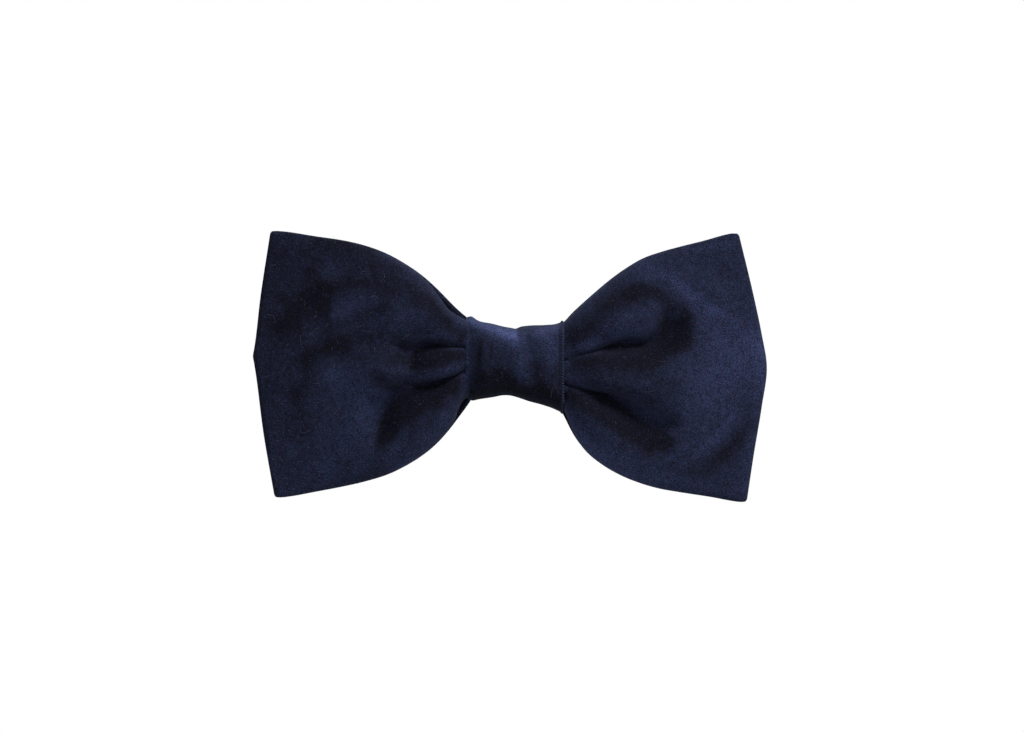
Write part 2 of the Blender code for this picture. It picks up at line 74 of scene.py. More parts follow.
def cubic(xs, ys, at):
    """Monotone-ish cubic through the points, for one or more columns of values."""
    xs, ys, at = np.asarray(xs, float), np.asarray(ys, float), np.asarray(at, float)
    column = ys.ndim == 1
    if column:
        ys = ys[:, None]
    h = np.diff(xs)
    d = np.diff(ys, axis=0) / h[:, None]
    m = np.empty_like(ys)
    m[0], m[-1] = d[0], d[-1]
    m[1:-1] = (d[:-1] * h[1:, None] + d[1:] * h[:-1, None]) / (h[1:] + h[:-1])[:, None]
    k = np.clip(np.searchsorted(xs, at) - 1, 0, len(xs) - 2)
    t = np.clip((at - xs[k]) / h[k], 0.0, 1.0)[..., None]
    hk = h[k][..., None]
    out = (
        (2 * t**3 - 3 * t**2 + 1) * ys[k]
        + (t**3 - 2 * t**2 + t) * hk * m[k]
        + (-2 * t**3 + 3 * t**2) * ys[k + 1]
        + (t**3 - t**2) * hk * m[k + 1]
    )
    return out[..., 0] if column else out


def along(points, share):
    """Points of a smooth open curve at shares of its length."""
    p = np.asarray(points, float)
    s = np.concatenate([[0.0], np.cumsum(np.linalg.norm(np.diff(p, axis=0), axis=1))])
    fine = cubic(s, p, np.linspace(0, s[-1], 400))
    s = np.concatenate([[0.0], np.cumsum(np.linalg.norm(np.diff(fine, axis=0), axis=1))])
    at = np.asarray(share) * s[-1]
    return np.stack([np.interp(at, s, fine[:, c]) for c in range(fine.shape[1])], -1)


def seen_at(xz, y):
    """Moves a point of the outline, as seen in the middle plane of the bow, to depth y along its sight line."""
    xz = np.asarray(xz, float)
    grow = ((np.asarray(y, float) - EYE[1]) / EYE_TO_MID)[..., None]
    eye = EYE[[0, 2]]
    return eye + (xz - eye) * grow


def inset(xz, by):
    """An outline given from the knot outwards, moved in towards the middle of the wing."""
    t = np.gradient(xz, axis=0)
    t /= np.linalg.norm(t, axis=1)[:, None]
    n = np.stack([-t[:, 1], t[:, 0]], -1)
    n *= np.where(n[:, 1] * xz[:, 1] > 0, -1.0, 1.0)[:, None]
    return xz + n * by


# ------------------------------------------------------------------------------------------------
# the wings: their outlines as (x, z), from the knot outwards

OUTLINE = {
    ("left", "front", "top"): [(-11.3, 10.0), (-12.7, 11.0), (-14.4, 11.8), (-16.3, 12.9), (-17.6, 14.6), (-18.8, 16.3), (-20.4, 18.4), (-22.2, 20.5), (-24.6, 22.7), (-28.0, 25.0), (-31.9, 27.1), (-35.8, 28.6), (-41.7, 30.1), (-49.5, 31.2), (-56.0, 32.2), (-60.2, 32.5)],
    ("left", "front", "low"): [(-11.3, -6.6), (-12.6, -8.3), (-14.0, -10.2), (-14.6, -12.0), (-15.0, -13.8), (-16.4, -15.9), (-18.3, -18.2), (-20.2, -20.1), (-24.1, -23.1), (-28.0, -25.4), (-31.9, -27.2), (-35.8, -28.4), (-41.7, -29.8), (-49.5, -31.2), (-55.3, -32.2), (-59.2, -32.6)],
    ("left", "back", "top"): [(-11.5, 10.6), (-13.0, 12.1), (-14.4, 13.2), (-16.3, 15.2), (-18.3, 17.3), (-20.2, 19.2), (-24.1, 22.5), (-28.0, 25.0), (-31.9, 27.1), (-35.8, 28.6), (-41.7, 30.1), (-49.5, 31.2), (-56.0, 32.2), (-60.2, 32.5)],
    ("left", "back", "low"): [(-11.5, -9.5), (-12.6, -11.2), (-14.4, -13.5), (-16.3, -16.0), (-18.3, -18.3), (-20.2, -20.1), (-24.1, -23.1), (-28.0, -25.4), (-31.9, -27.2), (-35.8, -28.4), (-41.7, -29.8), (-49.5, -31.2), (-55.3, -32.2), (-59.2, -32.6)],
    ("right", "front", "top"): [(11.3, 9.8), (12.9, 12.0), (14.9, 13.9), (18.8, 17.4), (22.7, 20.7), (26.6, 23.5), (30.5, 25.8), (34.4, 27.2), (40.2, 28.8), (46.1, 30.1), (51.0, 31.4), (54.2, 31.9)],
    ("right", "front", "low"): [(11.3, -10.2), (12.8, -14.8), (14.8, -18.8), (16.8, -21.4), (20.7, -24.6), (24.6, -26.9), (30.5, -29.3), (34.4, -30.4), (40.2, -31.4), (48.0, -32.5), (53.0, -33.4), (56.1, -33.7)],
    ("right", "back", "top"): [(11.3, 9.6), (12.9, 11.8), (14.9, 13.7), (18.8, 17.3), (22.7, 20.7), (26.6, 23.5), (30.5, 25.8), (34.4, 27.2), (40.2, 28.8), (46.1, 30.1), (51.0, 31.4), (54.2, 31.9)],
    ("right", "back", "low"): [(11.3, -11.6), (12.9, -16.1), (14.9, -19.2), (16.8, -21.4), (20.7, -24.6), (24.6, -26.9), (30.5, -29.3), (34.4, -30.4), (40.2, -31.4), (48.0, -32.5), (53.0, -33.4), (56.1, -33.7)],
}
END = {  # the folded end, from the lower corner to the upper one
    "left": [(-59.2, -32.6), (-61.7, -18.0), (-64.2, 0.8), (-64.4, 1.9), (-64.2, 3.0), (-62.5, 17.0), (-60.2, 32.4)],
    "right": [(56.1, -33.7), (57.8, -22.1), (59.7, -10.4), (60.9, -0.5), (59.7, 7.2), (57.8, 16.5), (54.2, 31.9)],
}
# the cloth where it leaves the knot, from the lower edge to the upper: (share of the width, y, z)
MOUTH = {
    ("left", "front"): [(-1.0, -12.8, -6.4), (-0.86, -14.8, -5.8), (-0.66, -15.8, -4.4), (-0.30, -16.4, -2.0), (0.0, -16.5, 1.2), (0.40, -16.4, 4.6), (0.74, -15.8, 7.4), (0.90, -14.6, 8.6), (1.0, -12.8, 9.2)],
    ("left", "back"): [(-1.0, -7.2, -7.2), (-0.66, -4.2, -4.8), (-0.34, -8.2, -2.2), (0.0, -4.0, 0.8), (0.36, -8.2, 4.0), (0.70, -4.3, 7.4), (1.0, -7.4, 9.6)],
    ("right", "front"): [(-1.0, -12.8, -9.4), (-0.86, -15.0, -8.7), (-0.66, -16.3, -7.2), (-0.30, -17.2, -4.4), (0.0, -17.4, -1.4), (0.40, -17.2, 2.6), (0.74, -16.4, 6.4), (0.90, -14.8, 8.2), (1.0, -12.8, 8.9)],
    ("right", "back"): [(-1.0, -7.4, -10.4), (-0.66, -4.2, -7.0), (-0.34, -8.2, -3.4), (0.0, -4.0, -0.4), (0.36, -8.2, 3.2), (0.70, -4.3, 6.4), (1.0, -7.4, 8.7)],
}
# where the pleats run out into hollows, along the upper lip of each:
# (x, z, width on the lower side, width on the upper side, depth, how far the lip hangs over)
HOLLOWS = {
    ("left", "front"): [
        [(-11.5, 3.8, 0.4, 0.4, 2, 0), (-14.6, 4.1, 0.7, 0.5, 3, 0.2), (-17.3, 4.8, 1.7, 0.6, 3.94, 0.3), (-19.7, 5.5, 2.9, 0.7, 4.59, 0.3), (-22.4, 5.5, 3.9, 0.8, 4.76, 0.2), (-24.9, 5, 4.4, 1, 4.76, 0.1), (-25.9, 3.8, 4.1, 1.2, 4.59, 0), (-26.3, 1.9, 3.4, 1.5, 4.1, 0), (-26.4, -0.2, 2.4, 1.7, 2.79, 0), (-26.1, -2.4, 1.9, 1.9, 0, 0)],
        [(-11.5, -1.1, 0.4, 0.4, 2, 0), (-13.6, -1.8, 0.8, 0.6, 2.79, 0.3), (-15.8, -2.4, 1.5, 0.6, 3.94, 0.4), (-18, -3, 2.7, 0.7, 4.76, 0.4), (-20.7, -3.6, 4.1, 0.8, 5.08, 0.4), (-23.6, -3.9, 5.4, 0.9, 5.17, 0.3), (-26.6, -4.1, 6.8, 1.1, 5.17, 0.1), (-28.8, -4.8, 7.3, 1.5, 5.17, 0), (-30.5, -7.3, 6.3, 1.7, 5.17, 0), (-32.4, -10, 5.4, 1.7, 5, 0), (-33.4, -12.9, 4.6, 1.7, 4.59, 0), (-33.7, -16.1, 3.9, 1.9, 3.77, 0), (-33.6, -18.8, 2.9, 2.2, 2.4, 0), (-32.7, -21, 2.4, 2.4, 0, 0)],
    ],
    ("right", "front"): [
        [(11, 0.7, 0.4, 0.4, 1, 0), (13.6, 1.6, 0.5, 0.5, 1.5, 0.1), (16.3, 2.5, 0.7, 0.5, 2.6, 0.2), (19, 3.6, 1.5, 0.6, 3.53, 0.3), (21.4, 4.9, 2.7, 0.7, 4.67, 0.3), (23.6, 6, 3.7, 0.8, 5.08, 0.2), (25.8, 6.4, 4.1, 0.8, 5.17, 0.1), (28.3, 6.1, 3.9, 0.8, 5.08, 0.1), (30.5, 5.8, 3.7, 0.9, 5, 0.1), (32.4, 6.8, 4.4, 1.1, 4.92, 0), (34.1, 8.4, 5.1, 1.3, 4.76, 0), (35.6, 10.2, 5.4, 1.6, 4.26, 0), (36.3, 11.9, 4.6, 1.9, 2.87, 0), (36.5, 13.9, 3.2, 2.2, 1.4, 0), (36.3, 15.6, 2.4, 2.4, 0, 0)],
        [(11, -4.5, 0.4, 0.4, 2, 0), (13.9, -5, 0.7, 0.5, 2.79, 0.3), (16.8, -5.6, 1.7, 0.6, 4.1, 0.5), (19.7, -6, 3.2, 0.7, 5, 0.5), (22.4, -6.4, 4.4, 0.9, 5.17, 0.4), (24.6, -7.3, 5.1, 1.1, 5.17, 0.2), (26.6, -8.5, 5.1, 1.5, 5.17, 0), (28.8, -9.9, 5.4, 1.7, 5, 0), (31.7, -11.6, 5.4, 1.9, 4.59, 0), (34.6, -13.4, 4.9, 2.1, 3.94, 0), (37, -15.4, 3.9, 2.2, 3, 0), (39, -17.5, 2.9, 2.7, 0, 0)],
    ],
    ("left", "back"): [
        [(-11.0, 4.0, 1.4, 1.4, 4.0, 0), (-18.0, 5.0, 2.6, 2.6, 3.8, 0), (-26.0, 7.0, 4.0, 4.0, 2.6, 0), (-34.0, 9.0, 5.0, 5.0, 0.0, 0)],
        [(-11.0, -2.2, 1.4, 1.4, 4.0, 0), (-18.0, -3.6, 2.6, 2.6, 3.8, 0), (-27.0, -6.6, 4.0, 4.0, 2.6, 0), (-36.0, -10.0, 5.0, 5.0, 0.0, 0)],
    ],
    ("right", "back"): [
        [(11.0, 3.2, 1.4, 1.4, 4.0, 0), (18.0, 4.2, 2.6, 2.6, 3.8, 0), (26.0, 6.4, 4.0, 4.0, 2.6, 0), (35.0, 9.4, 5.0, 5.0, 0.0, 0)],
        [(11.0, -3.4, 1.4, 1.4, 4.0, 0), (18.0, -5.0, 2.6, 2.6, 3.8, 0), (26.0, -8.4, 4.0, 4.0, 2.6, 0), (34.0, -12.4, 5.0, 5.0, 0.0, 0)],
    ],
}
# gentle rolls standing proud of the wing: the same rows, with a height in place of the depth
ROLLS = {
    ("left", "front"): [
        [(-14.0, 9.0, 3.0, 3.0, 0.6), (-22.0, 12.5, 5.0, 5.0, 1.4), (-32.0, 15.5, 6.0, 6.0, 1.3), (-42.0, 17.0, 7.0, 7.0, 0.0)],
        [(-17.0, 1.6, 2.4, 2.4, 0.5), (-24.0, -1.0, 3.0, 3.0, 1.2), (-33.0, -3.2, 5.0, 5.0, 1.6), (-43.0, -4.5, 6.0, 6.0, 0.0)],
        [(-15.0, -8.0, 2.5, 2.5, 0.6), (-20.0, -13.5, 4.0, 4.0, 1.2), (-25.0, -19.0, 4.0, 4.0, 1.0), (-31.0, -24.5, 4.0, 4.0, 0.0)],
    ],
    ("right", "front"): [
        [(14.0, 8.0, 3.0, 3.0, 0.6), (22.0, 11.0, 4.0, 4.0, 1.4), (30.0, 15.0, 5.0, 5.0, 1.2), (37.0, 20.0, 5.0, 5.0, 0.4), (42.0, 24.0, 5.0, 5.0, 0.0)],
        [(17.0, -1.6, 3.0, 3.0, 0.5), (26.0, -3.4, 4.5, 4.5, 1.2), (36.0, -5.0, 6.0, 6.0, 1.4), (46.0, -5.0, 7.0, 7.0, 0.0)],
        [(14.0, -10.0, 2.5, 2.5, 0.6), (20.0, -16.0, 4.0, 4.0, 1.2), (28.0, -22.0, 4.5, 4.5, 1.0), (36.0, -26.0, 4.5, 4.5, 0.0)],
        [(38.0, 22.5, 2.6, 2.6, 0.3), (43.0, 20.5, 2.6, 2.6, 1.0), (49.0, 16.0, 3.0, 3.0, 0.7), (55.0, 10.0, 4.0, 4.0, 0.0)],
    ],
    ("left", "back"): [],
    ("right", "back"): [],
}
N_FRONT, N_FOLD, N_BACK, N_ACROSS = 100, 7, 58, 132
HALF = 0.80  # half the thickness of the flat velvet tube
FOLD_R = 1.05
CLOTH_WIDTH = 67.0
CLOTH_RUN = 55.5


def stroke(points, xz, pieces=30):
    """How strongly a stroke touches each point: the height there, from its rows of (x, z, below, above, height)."""
    side = np.sign(points[-1][0] - points[0][0])
    p = np.asarray(points, float)
    s = np.concatenate([[0.0], np.cumsum(np.linalg.norm(np.diff(p[:, :2], axis=0), axis=1))])
    fine = cubic(s, p, np.linspace(0, s[-1], pieces * (len(p) - 1) // 2 + 1))
    best = np.full(xz.shape[:-1], 1e9)
    value = np.zeros(xz.shape[:-1])
    for a, b in zip(fine, fine[1:]):
        ab = b[:2] - a[:2]
        t = np.clip(((xz - a[:2]) @ ab) / (ab @ ab), 0.0, 1.0)
        near = a + (b - a) * t[..., None]
        off = xz - near[..., :2]
        upper = (ab[0] * off[..., 1] - ab[1] * off[..., 0]) * side > 0
        width = np.where(upper, near[..., 3], near[..., 2])
        r = np.linalg.norm(off, axis=-1) / np.maximum(width, 0.3)
        closer = r < best
        best = np.where(closer, r, best)
        value = np.where(closer, near[..., 4], value)
    return value * np.exp(-np.abs(best) ** 2.2)


def depth_profile(ply, u, v):
    if ply == "front":
        full = cubic([0.0, 0.10, 0.30, 0.60, 0.85, 1.0], [7.2, 8.4, 8.9, 6.0, 2.9, FOLD_R], u)
        edge = cubic([0.0, 0.12, 0.35, 0.70, 1.0], [3.4, 3.6, 3.4, 2.2, FOLD_R], u)
    else:
        full = cubic([0.0, 0.10, 0.30, 0.60, 0.85, 1.0], [5.4, 6.0, 6.2, 4.4, 2.3, FOLD_R], u)
        edge = cubic([0.0, 0.12, 0.35, 0.70, 1.0], [3.0, 3.0, 2.6, 1.8, FOLD_R], u)
    return edge + (full - edge) * np.sqrt(np.clip(1 - np.abs(v) ** 2.6, 0, 1))


def ply_start(side, ply, count):
    """The first shape of one ply, a grid from the knot outwards and from its lower edge to its upper."""
    u = np.linspace(0.0, 1.0, count)
    v = np.linspace(-1.0, 1.0, N_ACROSS)
    uu, vv = np.meshgrid(u, v, indexing="ij")
    sign = -1.0 if side == "left" else 1.0
    out = -1.0 if ply == "front" else 1.0
    mouth = np.asarray(MOUTH[(side, ply)], float)
    my, mz = cubic(mouth[:, 0], mouth[:, 1], v), cubic(mouth[:, 0], mouth[:, 2], v)
    if ply == "front":
        for row in HOLLOWS[(side, ply)]:
            my = my + row[0][4] * np.exp(-(((mz - row[0][1]) / 0.5) ** 2))
    edge_depth = depth_profile(ply, u, np.ones_like(u))
    edge_y = Y_MID + out * edge_depth
    edge_y = edge_y + (0.5 * (my[0] + my[-1]) - edge_y) * (1 - smooth(0.0, 0.12, u))
    top = seen_at(inset(along(OUTLINE[(side, ply, "top")], u), HALF), edge_y)
    low = seen_at(inset(along(OUTLINE[(side, ply, "low")], u), HALF), edge_y)
    end = along(END[side], np.linspace(0.0, 1.0, N_ACROSS))
    share = (end[:, 1] - end[0, 1]) / (end[-1, 1] - end[0, 1])
    end = np.stack([end[:, 0] - sign * (HALF + FOLD_R), low[-1, 1] + (top[-1, 1] - low[-1, 1]) * share], -1)
    x_mouth = sign * 11.0

    def drawn_in(edge, last):
        # the long edges stop where the end fold begins, still on the same line
        x = x_mouth + (edge[:, 0] - x_mouth) * (last - x_mouth) / (edge[-1, 0] - x_mouth)
        z = np.interp(sign * x, sign * edge[:, 0], edge[:, 1])
        return np.stack([x, z + (edge[-1, 1] - z[-1]) * smooth(0.7, 1.0, u)], -1)

    low, top = drawn_in(low, end[0, 0]), drawn_in(top, end[-1, 0])
    share_end = (end[:, 1] - end[0, 1]) / (end[-1, 1] - end[0, 1])
    share_mouth = (mz - mz[0]) / (mz[-1] - mz[0])
    mix = smooth(0.0, 0.55, u)[:, None]
    near = 1 - smooth(0.0, 0.085, uu)

    def shape(vv):
        def taken(values):
            return np.interp(vv, v, values)

        w = np.abs(vv)
        # how far along each line has come, as a share of the way from the knot to the end
        edge_top, edge_low = (top[:, None, 0] - x_mouth) / (top[-1, 0] - x_mouth), (low[:, None, 0] - x_mouth) / (low[-1, 0] - x_mouth)
        run = np.where(vv > 0, edge_top, edge_low)
        reach = taken(end[:, 0]) - x_mouth
        x = x_mouth + reach * (uu + (run - uu) * smooth(0.0, 1.0, w))
        x[:, 0], x[:, -1] = low[:, 0], top[:, 0]
        share = taken(share_mouth) * (1 - mix) + taken(share_end) * mix
        z = low[:, None, 1] + (top[:, None, 1] - low[:, None, 1]) * share
        y = Y_MID + out * depth_profile(ply, uu, vv)
        xz = np.stack([x, z], -1)
        for row in HOLLOWS[(side, ply)]:
            y -= out * stroke([r[:5] for r in row], xz)
            z -= stroke([(r[0], r[1] + r[3] + 0.3, 0.9, 2.2, r[5]) for r in row], xz)
        for row in ROLLS[(side, ply)]:
            y += out * stroke(row, xz)
        y = y * (1 - near) + taken(my) * near
        grid = np.stack([x, y, z], -1)
        grid[0, :, 0], grid[0, :, 1], grid[0, :, 2] = x_mouth, taken(my)[0], taken(mz)[0]
        grid[-1, :, 0], grid[-1, :, 1], grid[-1, :, 2] = taken(end[:, 0])[-1], Y_MID + out * FOLD_R, taken(end[:, 1])[-1]
        return grid

    # the cloth's lines are evenly spaced on it, so more of them go down into the hollows
    for _ in range(5 if ply == "front" else 1):
        grid = shape(vv)
        s = np.concatenate([np.zeros((count, 1)), np.cumsum(np.linalg.norm(np.diff(grid, axis=1), axis=-1), 1)], 1)
        even = np.array([np.interp(np.linspace(0.0, row[-1], N_ACROSS), row, at) for row, at in zip(s, vv)])
        for _ in range(3):
            even[1:-1] = (even[:-2] + 2 * even[1:-1] + even[2:]) / 4
        vv = even
    return shape(vv)


def ring_start(side):
    """One wing as one sheet: its front ply from the knot, the fold at the end, and its back ply."""
    front, back = ply_start(side, "front", N_FRONT), ply_start(side, "back", N_BACK)
    sign = -1.0 if side == "left" else 1.0
    bends = []
    for k in range(1, N_FOLD + 1):
        a = math.pi * k / (N_FOLD + 1)
        row = front[-1].copy()
        row[:, 0] += sign * FOLD_R * math.sin(a)
        row[:, 1] = Y_MID - FOLD_R * math.cos(a)
        bends.append(row)
    return np.concatenate([front, np.array(bends), back[::-1]])


def pull(p, w, a, b, rest, k):
    """Moves the pairs of points a and b towards their distance at rest."""
    d = p[b] - p[a]
    length = np.sqrt((d * d).sum(-1))
    wa, wb = w[a], w[b]
    push = (k * (length - rest) / np.maximum(length * (wa + wb), 1e-6))[..., None] * d
    p[a] += wa[..., None] * push
    p[b] -= wb[..., None] * push


def pairs(ni, nj, di, dj):
    """Slices that pair every grid point with the one di, dj away, in two sweeps that share no point."""
    found = []
    step = 2 * max(di, 1) if di else None
    if di and dj:
        for odd in range(2):
            a = (slice(odd, ni - di, 2), slice(0, nj - dj) if dj > 0 else slice(-dj, nj))
            b = (slice(odd + di, ni, 2), slice(dj, nj) if dj > 0 else slice(0, nj + dj))
            found.append((a, b))
        return found
    if di:
        for odd in range(2 * di):
            a = (slice(odd, ni - di, step), slice(None))
            b = (slice(odd + di, ni, step), slice(None))
            found.append((a, b))
        return found
    step = 2 * dj
    for odd in range(2 * dj):
        found.append(((slice(None), slice(odd, nj - dj, step)), (slice(None), slice(odd + dj, nj, step))))
    return found


def relax(side, start, sweeps):
    """Lets the sheet find its length: a cloth of this width and run, held at the knot, the long edges and the end fold."""
    p = start.copy()
    guide = start.copy()
    ni, nj = p.shape[:2]
    free = np.ones((ni, nj))
    free[0], free[-1] = 0.0, 0.0
    free[N_FRONT - 1 : N_FRONT + N_FOLD + 1] = 0.0
    # the cloth is pinched at the knot and reaches its full width a little way out
    u_of = np.concatenate([np.linspace(0, 1, N_FRONT), np.ones(N_FOLD), np.linspace(1, 0, N_BACK)])
    arc0 = np.linalg.norm(np.diff(p, axis=1), axis=-1).sum(1)
    width = arc0 + (CLOTH_WIDTH - arc0) * smooth(0.04, 0.42, u_of)
    rest_v = np.repeat((width / (nj - 1))[:, None], nj, 1)
    rest_u = np.linalg.norm(np.diff(p, axis=0), axis=-1)
    for first, last in ((0, N_FRONT - 1), (N_FRONT + N_FOLD, ni - 1)):
        part = rest_u[first:last]
        total = part.sum(0)
        rest_u[first:last] = (CLOTH_RUN / (last - first)) * (0.5 + 0.5 * np.maximum(total, CLOTH_RUN) / CLOTH_RUN)[None]
    rest_u[N_FRONT - 1 : N_FRONT + N_FOLD] = np.linalg.norm(np.diff(p, axis=0), axis=-1)[N_FRONT - 1 : N_FRONT + N_FOLD]
    before = p.copy()
    out = np.ones((ni, 1))
    out[:N_FRONT] = -1.0
    hold = 0.15 + 0.20 * (1 - smooth(0.0, 0.10, u_of))[:, None] * np.ones((1, nj))
    hold = hold[..., None]
    up, vp = pairs(ni, nj, 1, 0), pairs(ni, nj, 0, 1)
    for sweep in range(sweeps):
        moved = (p - before) * 0.86
        before = p.copy()
        moved *= free[..., None]
        p += np.clip(moved, -0.2, 0.2)
        p[..., 1] += out * 0.004 * free
        p += (guide - p) * hold * free[..., None] * np.array([0.3, 1.0, 0.3])
        for _ in range(2):
            for a, b in up:
                pull(p, free, a, b, rest_u[a[0]], 0.9)
            for a, b in vp:
                pull(p, free, a, b, rest_v[a], 0.9)
            bend = p[:-2] + p[2:] - 2 * p[1:-1]
            p[1:-1] += 0.16 * bend * free[1:-1, :, None]
            bend = p[:, :-2] + p[:, 2:] - 2 * p[:, 1:-1]
            p[:, 1:-1] += 0.16 * bend * free[:, 1:-1, None]
            p[:, 0, [0, 2]] = start[:, 0, [0, 2]]
            p[:, -1, [0, 2]] = start[:, -1, [0, 2]]
        f = p[:N_FRONT, :, 1]
        np.minimum(f, Y_MID - HALF - 0.15, out=f)
        b_ = p[N_FRONT + N_FOLD :, :, 1]
        np.maximum(b_, Y_MID + HALF + 0.15, out=b_)
    for _ in range(8):
        bend = p[:-2] + p[2:] - 2 * p[1:-1]
        p[1:-1] += 0.2 * bend * free[1:-1, :, None]
        bend = p[:, :-2] + p[:, 2:] - 2 * p[:, 1:-1]
        p[:, 1:-1] += 0.2 * bend * free[:, 1:-1, None]
    return p


def core(left, right):
    """The stations of the tube under the knot, between the two wings: front, then the two halves of the back."""

    def squeezed(row, out):
        low, high = -4.2 + HALF, 5.0 - HALF
        share = (row[:, 2] - row[0, 2]) / (row[-1, 2] - row[0, 2])
        wave = row[:, 1] - row[:, 1].mean()
        made = row.copy()
        made[:, 0] = 0.0
        made[:, 1] = Y_MID + out * 3.1 + wave * 0.16
        made[:, 2] = low + (high - low) * share
        return made

    front = []
    middle = 0.5 * (squeezed(left[0], -1) + squeezed(right[0], -1))
    for x in (-9.6, -7.6, -5.6, -3.8, -1.9, 0.0, 1.9, 3.8, 5.6, 7.6, 9.6):
        end = left[0] if x < 0 else right[0]
        m = smooth(0.0, 1.0, abs(x) / 11.0)
        row = middle * (1 - m) + end * m
        row[:, 0] = x
        front.append(row)
    halves = []
    middle = 0.5 * (squeezed(left[-1], 1) + squeezed(right[-1], 1))
    for side, end in ((-1, left[-1]), (1, right[-1])):
        rows = []
        for x in (9.6, 7.6, 5.6, 3.8, 2.0, 0.6):
            m = smooth(0.0, 1.0, x / 11.0)
            row = middle * (1 - m) + end * m
            row[:, 0] = side * x
            rows.append(row)
        halves.append(np.array(rows))
    return np.array(front), halves[0], halves[1]


def tube(grid, half, shrink=1.0, nose_steps=3):
    """Closed rings round a mid surface: its outer side, one rounded long edge, its inner side, the other edge."""
    g = grid
    if shrink != 1.0:
        n = g.shape[1]
        v = np.linspace(-1, 1, n) * shrink
        pos = (v + 1) / 2 * (n - 1)
        i = np.clip(pos.astype(int), 0, n - 2)
        f = (pos - i)[None, :, None]
        g = g[:, i] * (1 - f) + g[:, i + 1] * f
    du = np.gradient(g, axis=0)
    dv = np.gradient(g, axis=1)
    n = np.cross(du, dv)
    n /= np.maximum(np.linalg.norm(n, axis=-1), 1e-9)[..., None]
    outer, inner = g + n * half, g - n * half
    e_top = g[:, -1] - g[:, -2]
    e_top /= np.linalg.norm(e_top, axis=-1)[:, None]
    e_low = g[:, 0] - g[:, 1]
    e_low /= np.linalg.norm(e_low, axis=-1)[:, None]
    rings = [outer]
    for k in range(1, nose_steps + 1):
        a = math.pi * k / (nose_steps + 1)
        rings.append((g[:, -1] + n[:, -1] * half * math.cos(a) + e_top * half * math.sin(a))[:, None])
    rings.append(inner[:, ::-1])
    for k in range(1, nose_steps + 1):
        a = math.pi * k / (nose_steps + 1)
        rings.append((g[:, 0] - n[:, 0] * half * math.cos(a) + e_low * half * math.sin(a))[:, None])
    return np.concatenate(rings, 1)


# ------------------------------------------------------------------------------------------------
# mesh and material helpers


def mesh_object(name, points, faces, material, smooth_shade=True):
    mesh = bpy.data.meshes.new(name)
    mesh.from_pydata([tuple(p) for p in np.asarray(points) * MM], [], [tuple(int(i) for i in f) for f in faces])
    mesh.update()
    if smooth_shade:
        mesh.shade_smooth()
    mesh.materials.append(material)
    obj = bpy.data.objects.new(name, mesh)
    bpy.context.scene.collection.objects.link(obj)
    return obj


def ring_faces(n_rings, n_round, first=0):
    a = np.arange(n_rings - 1)[:, None] * n_round + np.arange(n_round)[None]
    b = np.arange(n_rings - 1)[:, None] * n_round + (np.arange(n_round)[None] + 1) % n_round
    quads = np.stack([a, b, b + n_round, a + n_round], -1).reshape(-1, 4)
    return quads + first


def fix_normals(obj):
    bm = bmesh.new()
    bm.from_mesh(obj.data)
    bmesh.ops.recalc_face_normals(bm, faces=bm.faces)
    bm.to_mesh(obj.data)
    bm.free()


def subdivide(obj, levels=1):
    m = obj.modifiers.new("finer", "SUBSURF")
    m.levels = m.render_levels = levels
    m.uv_smooth = "NONE"


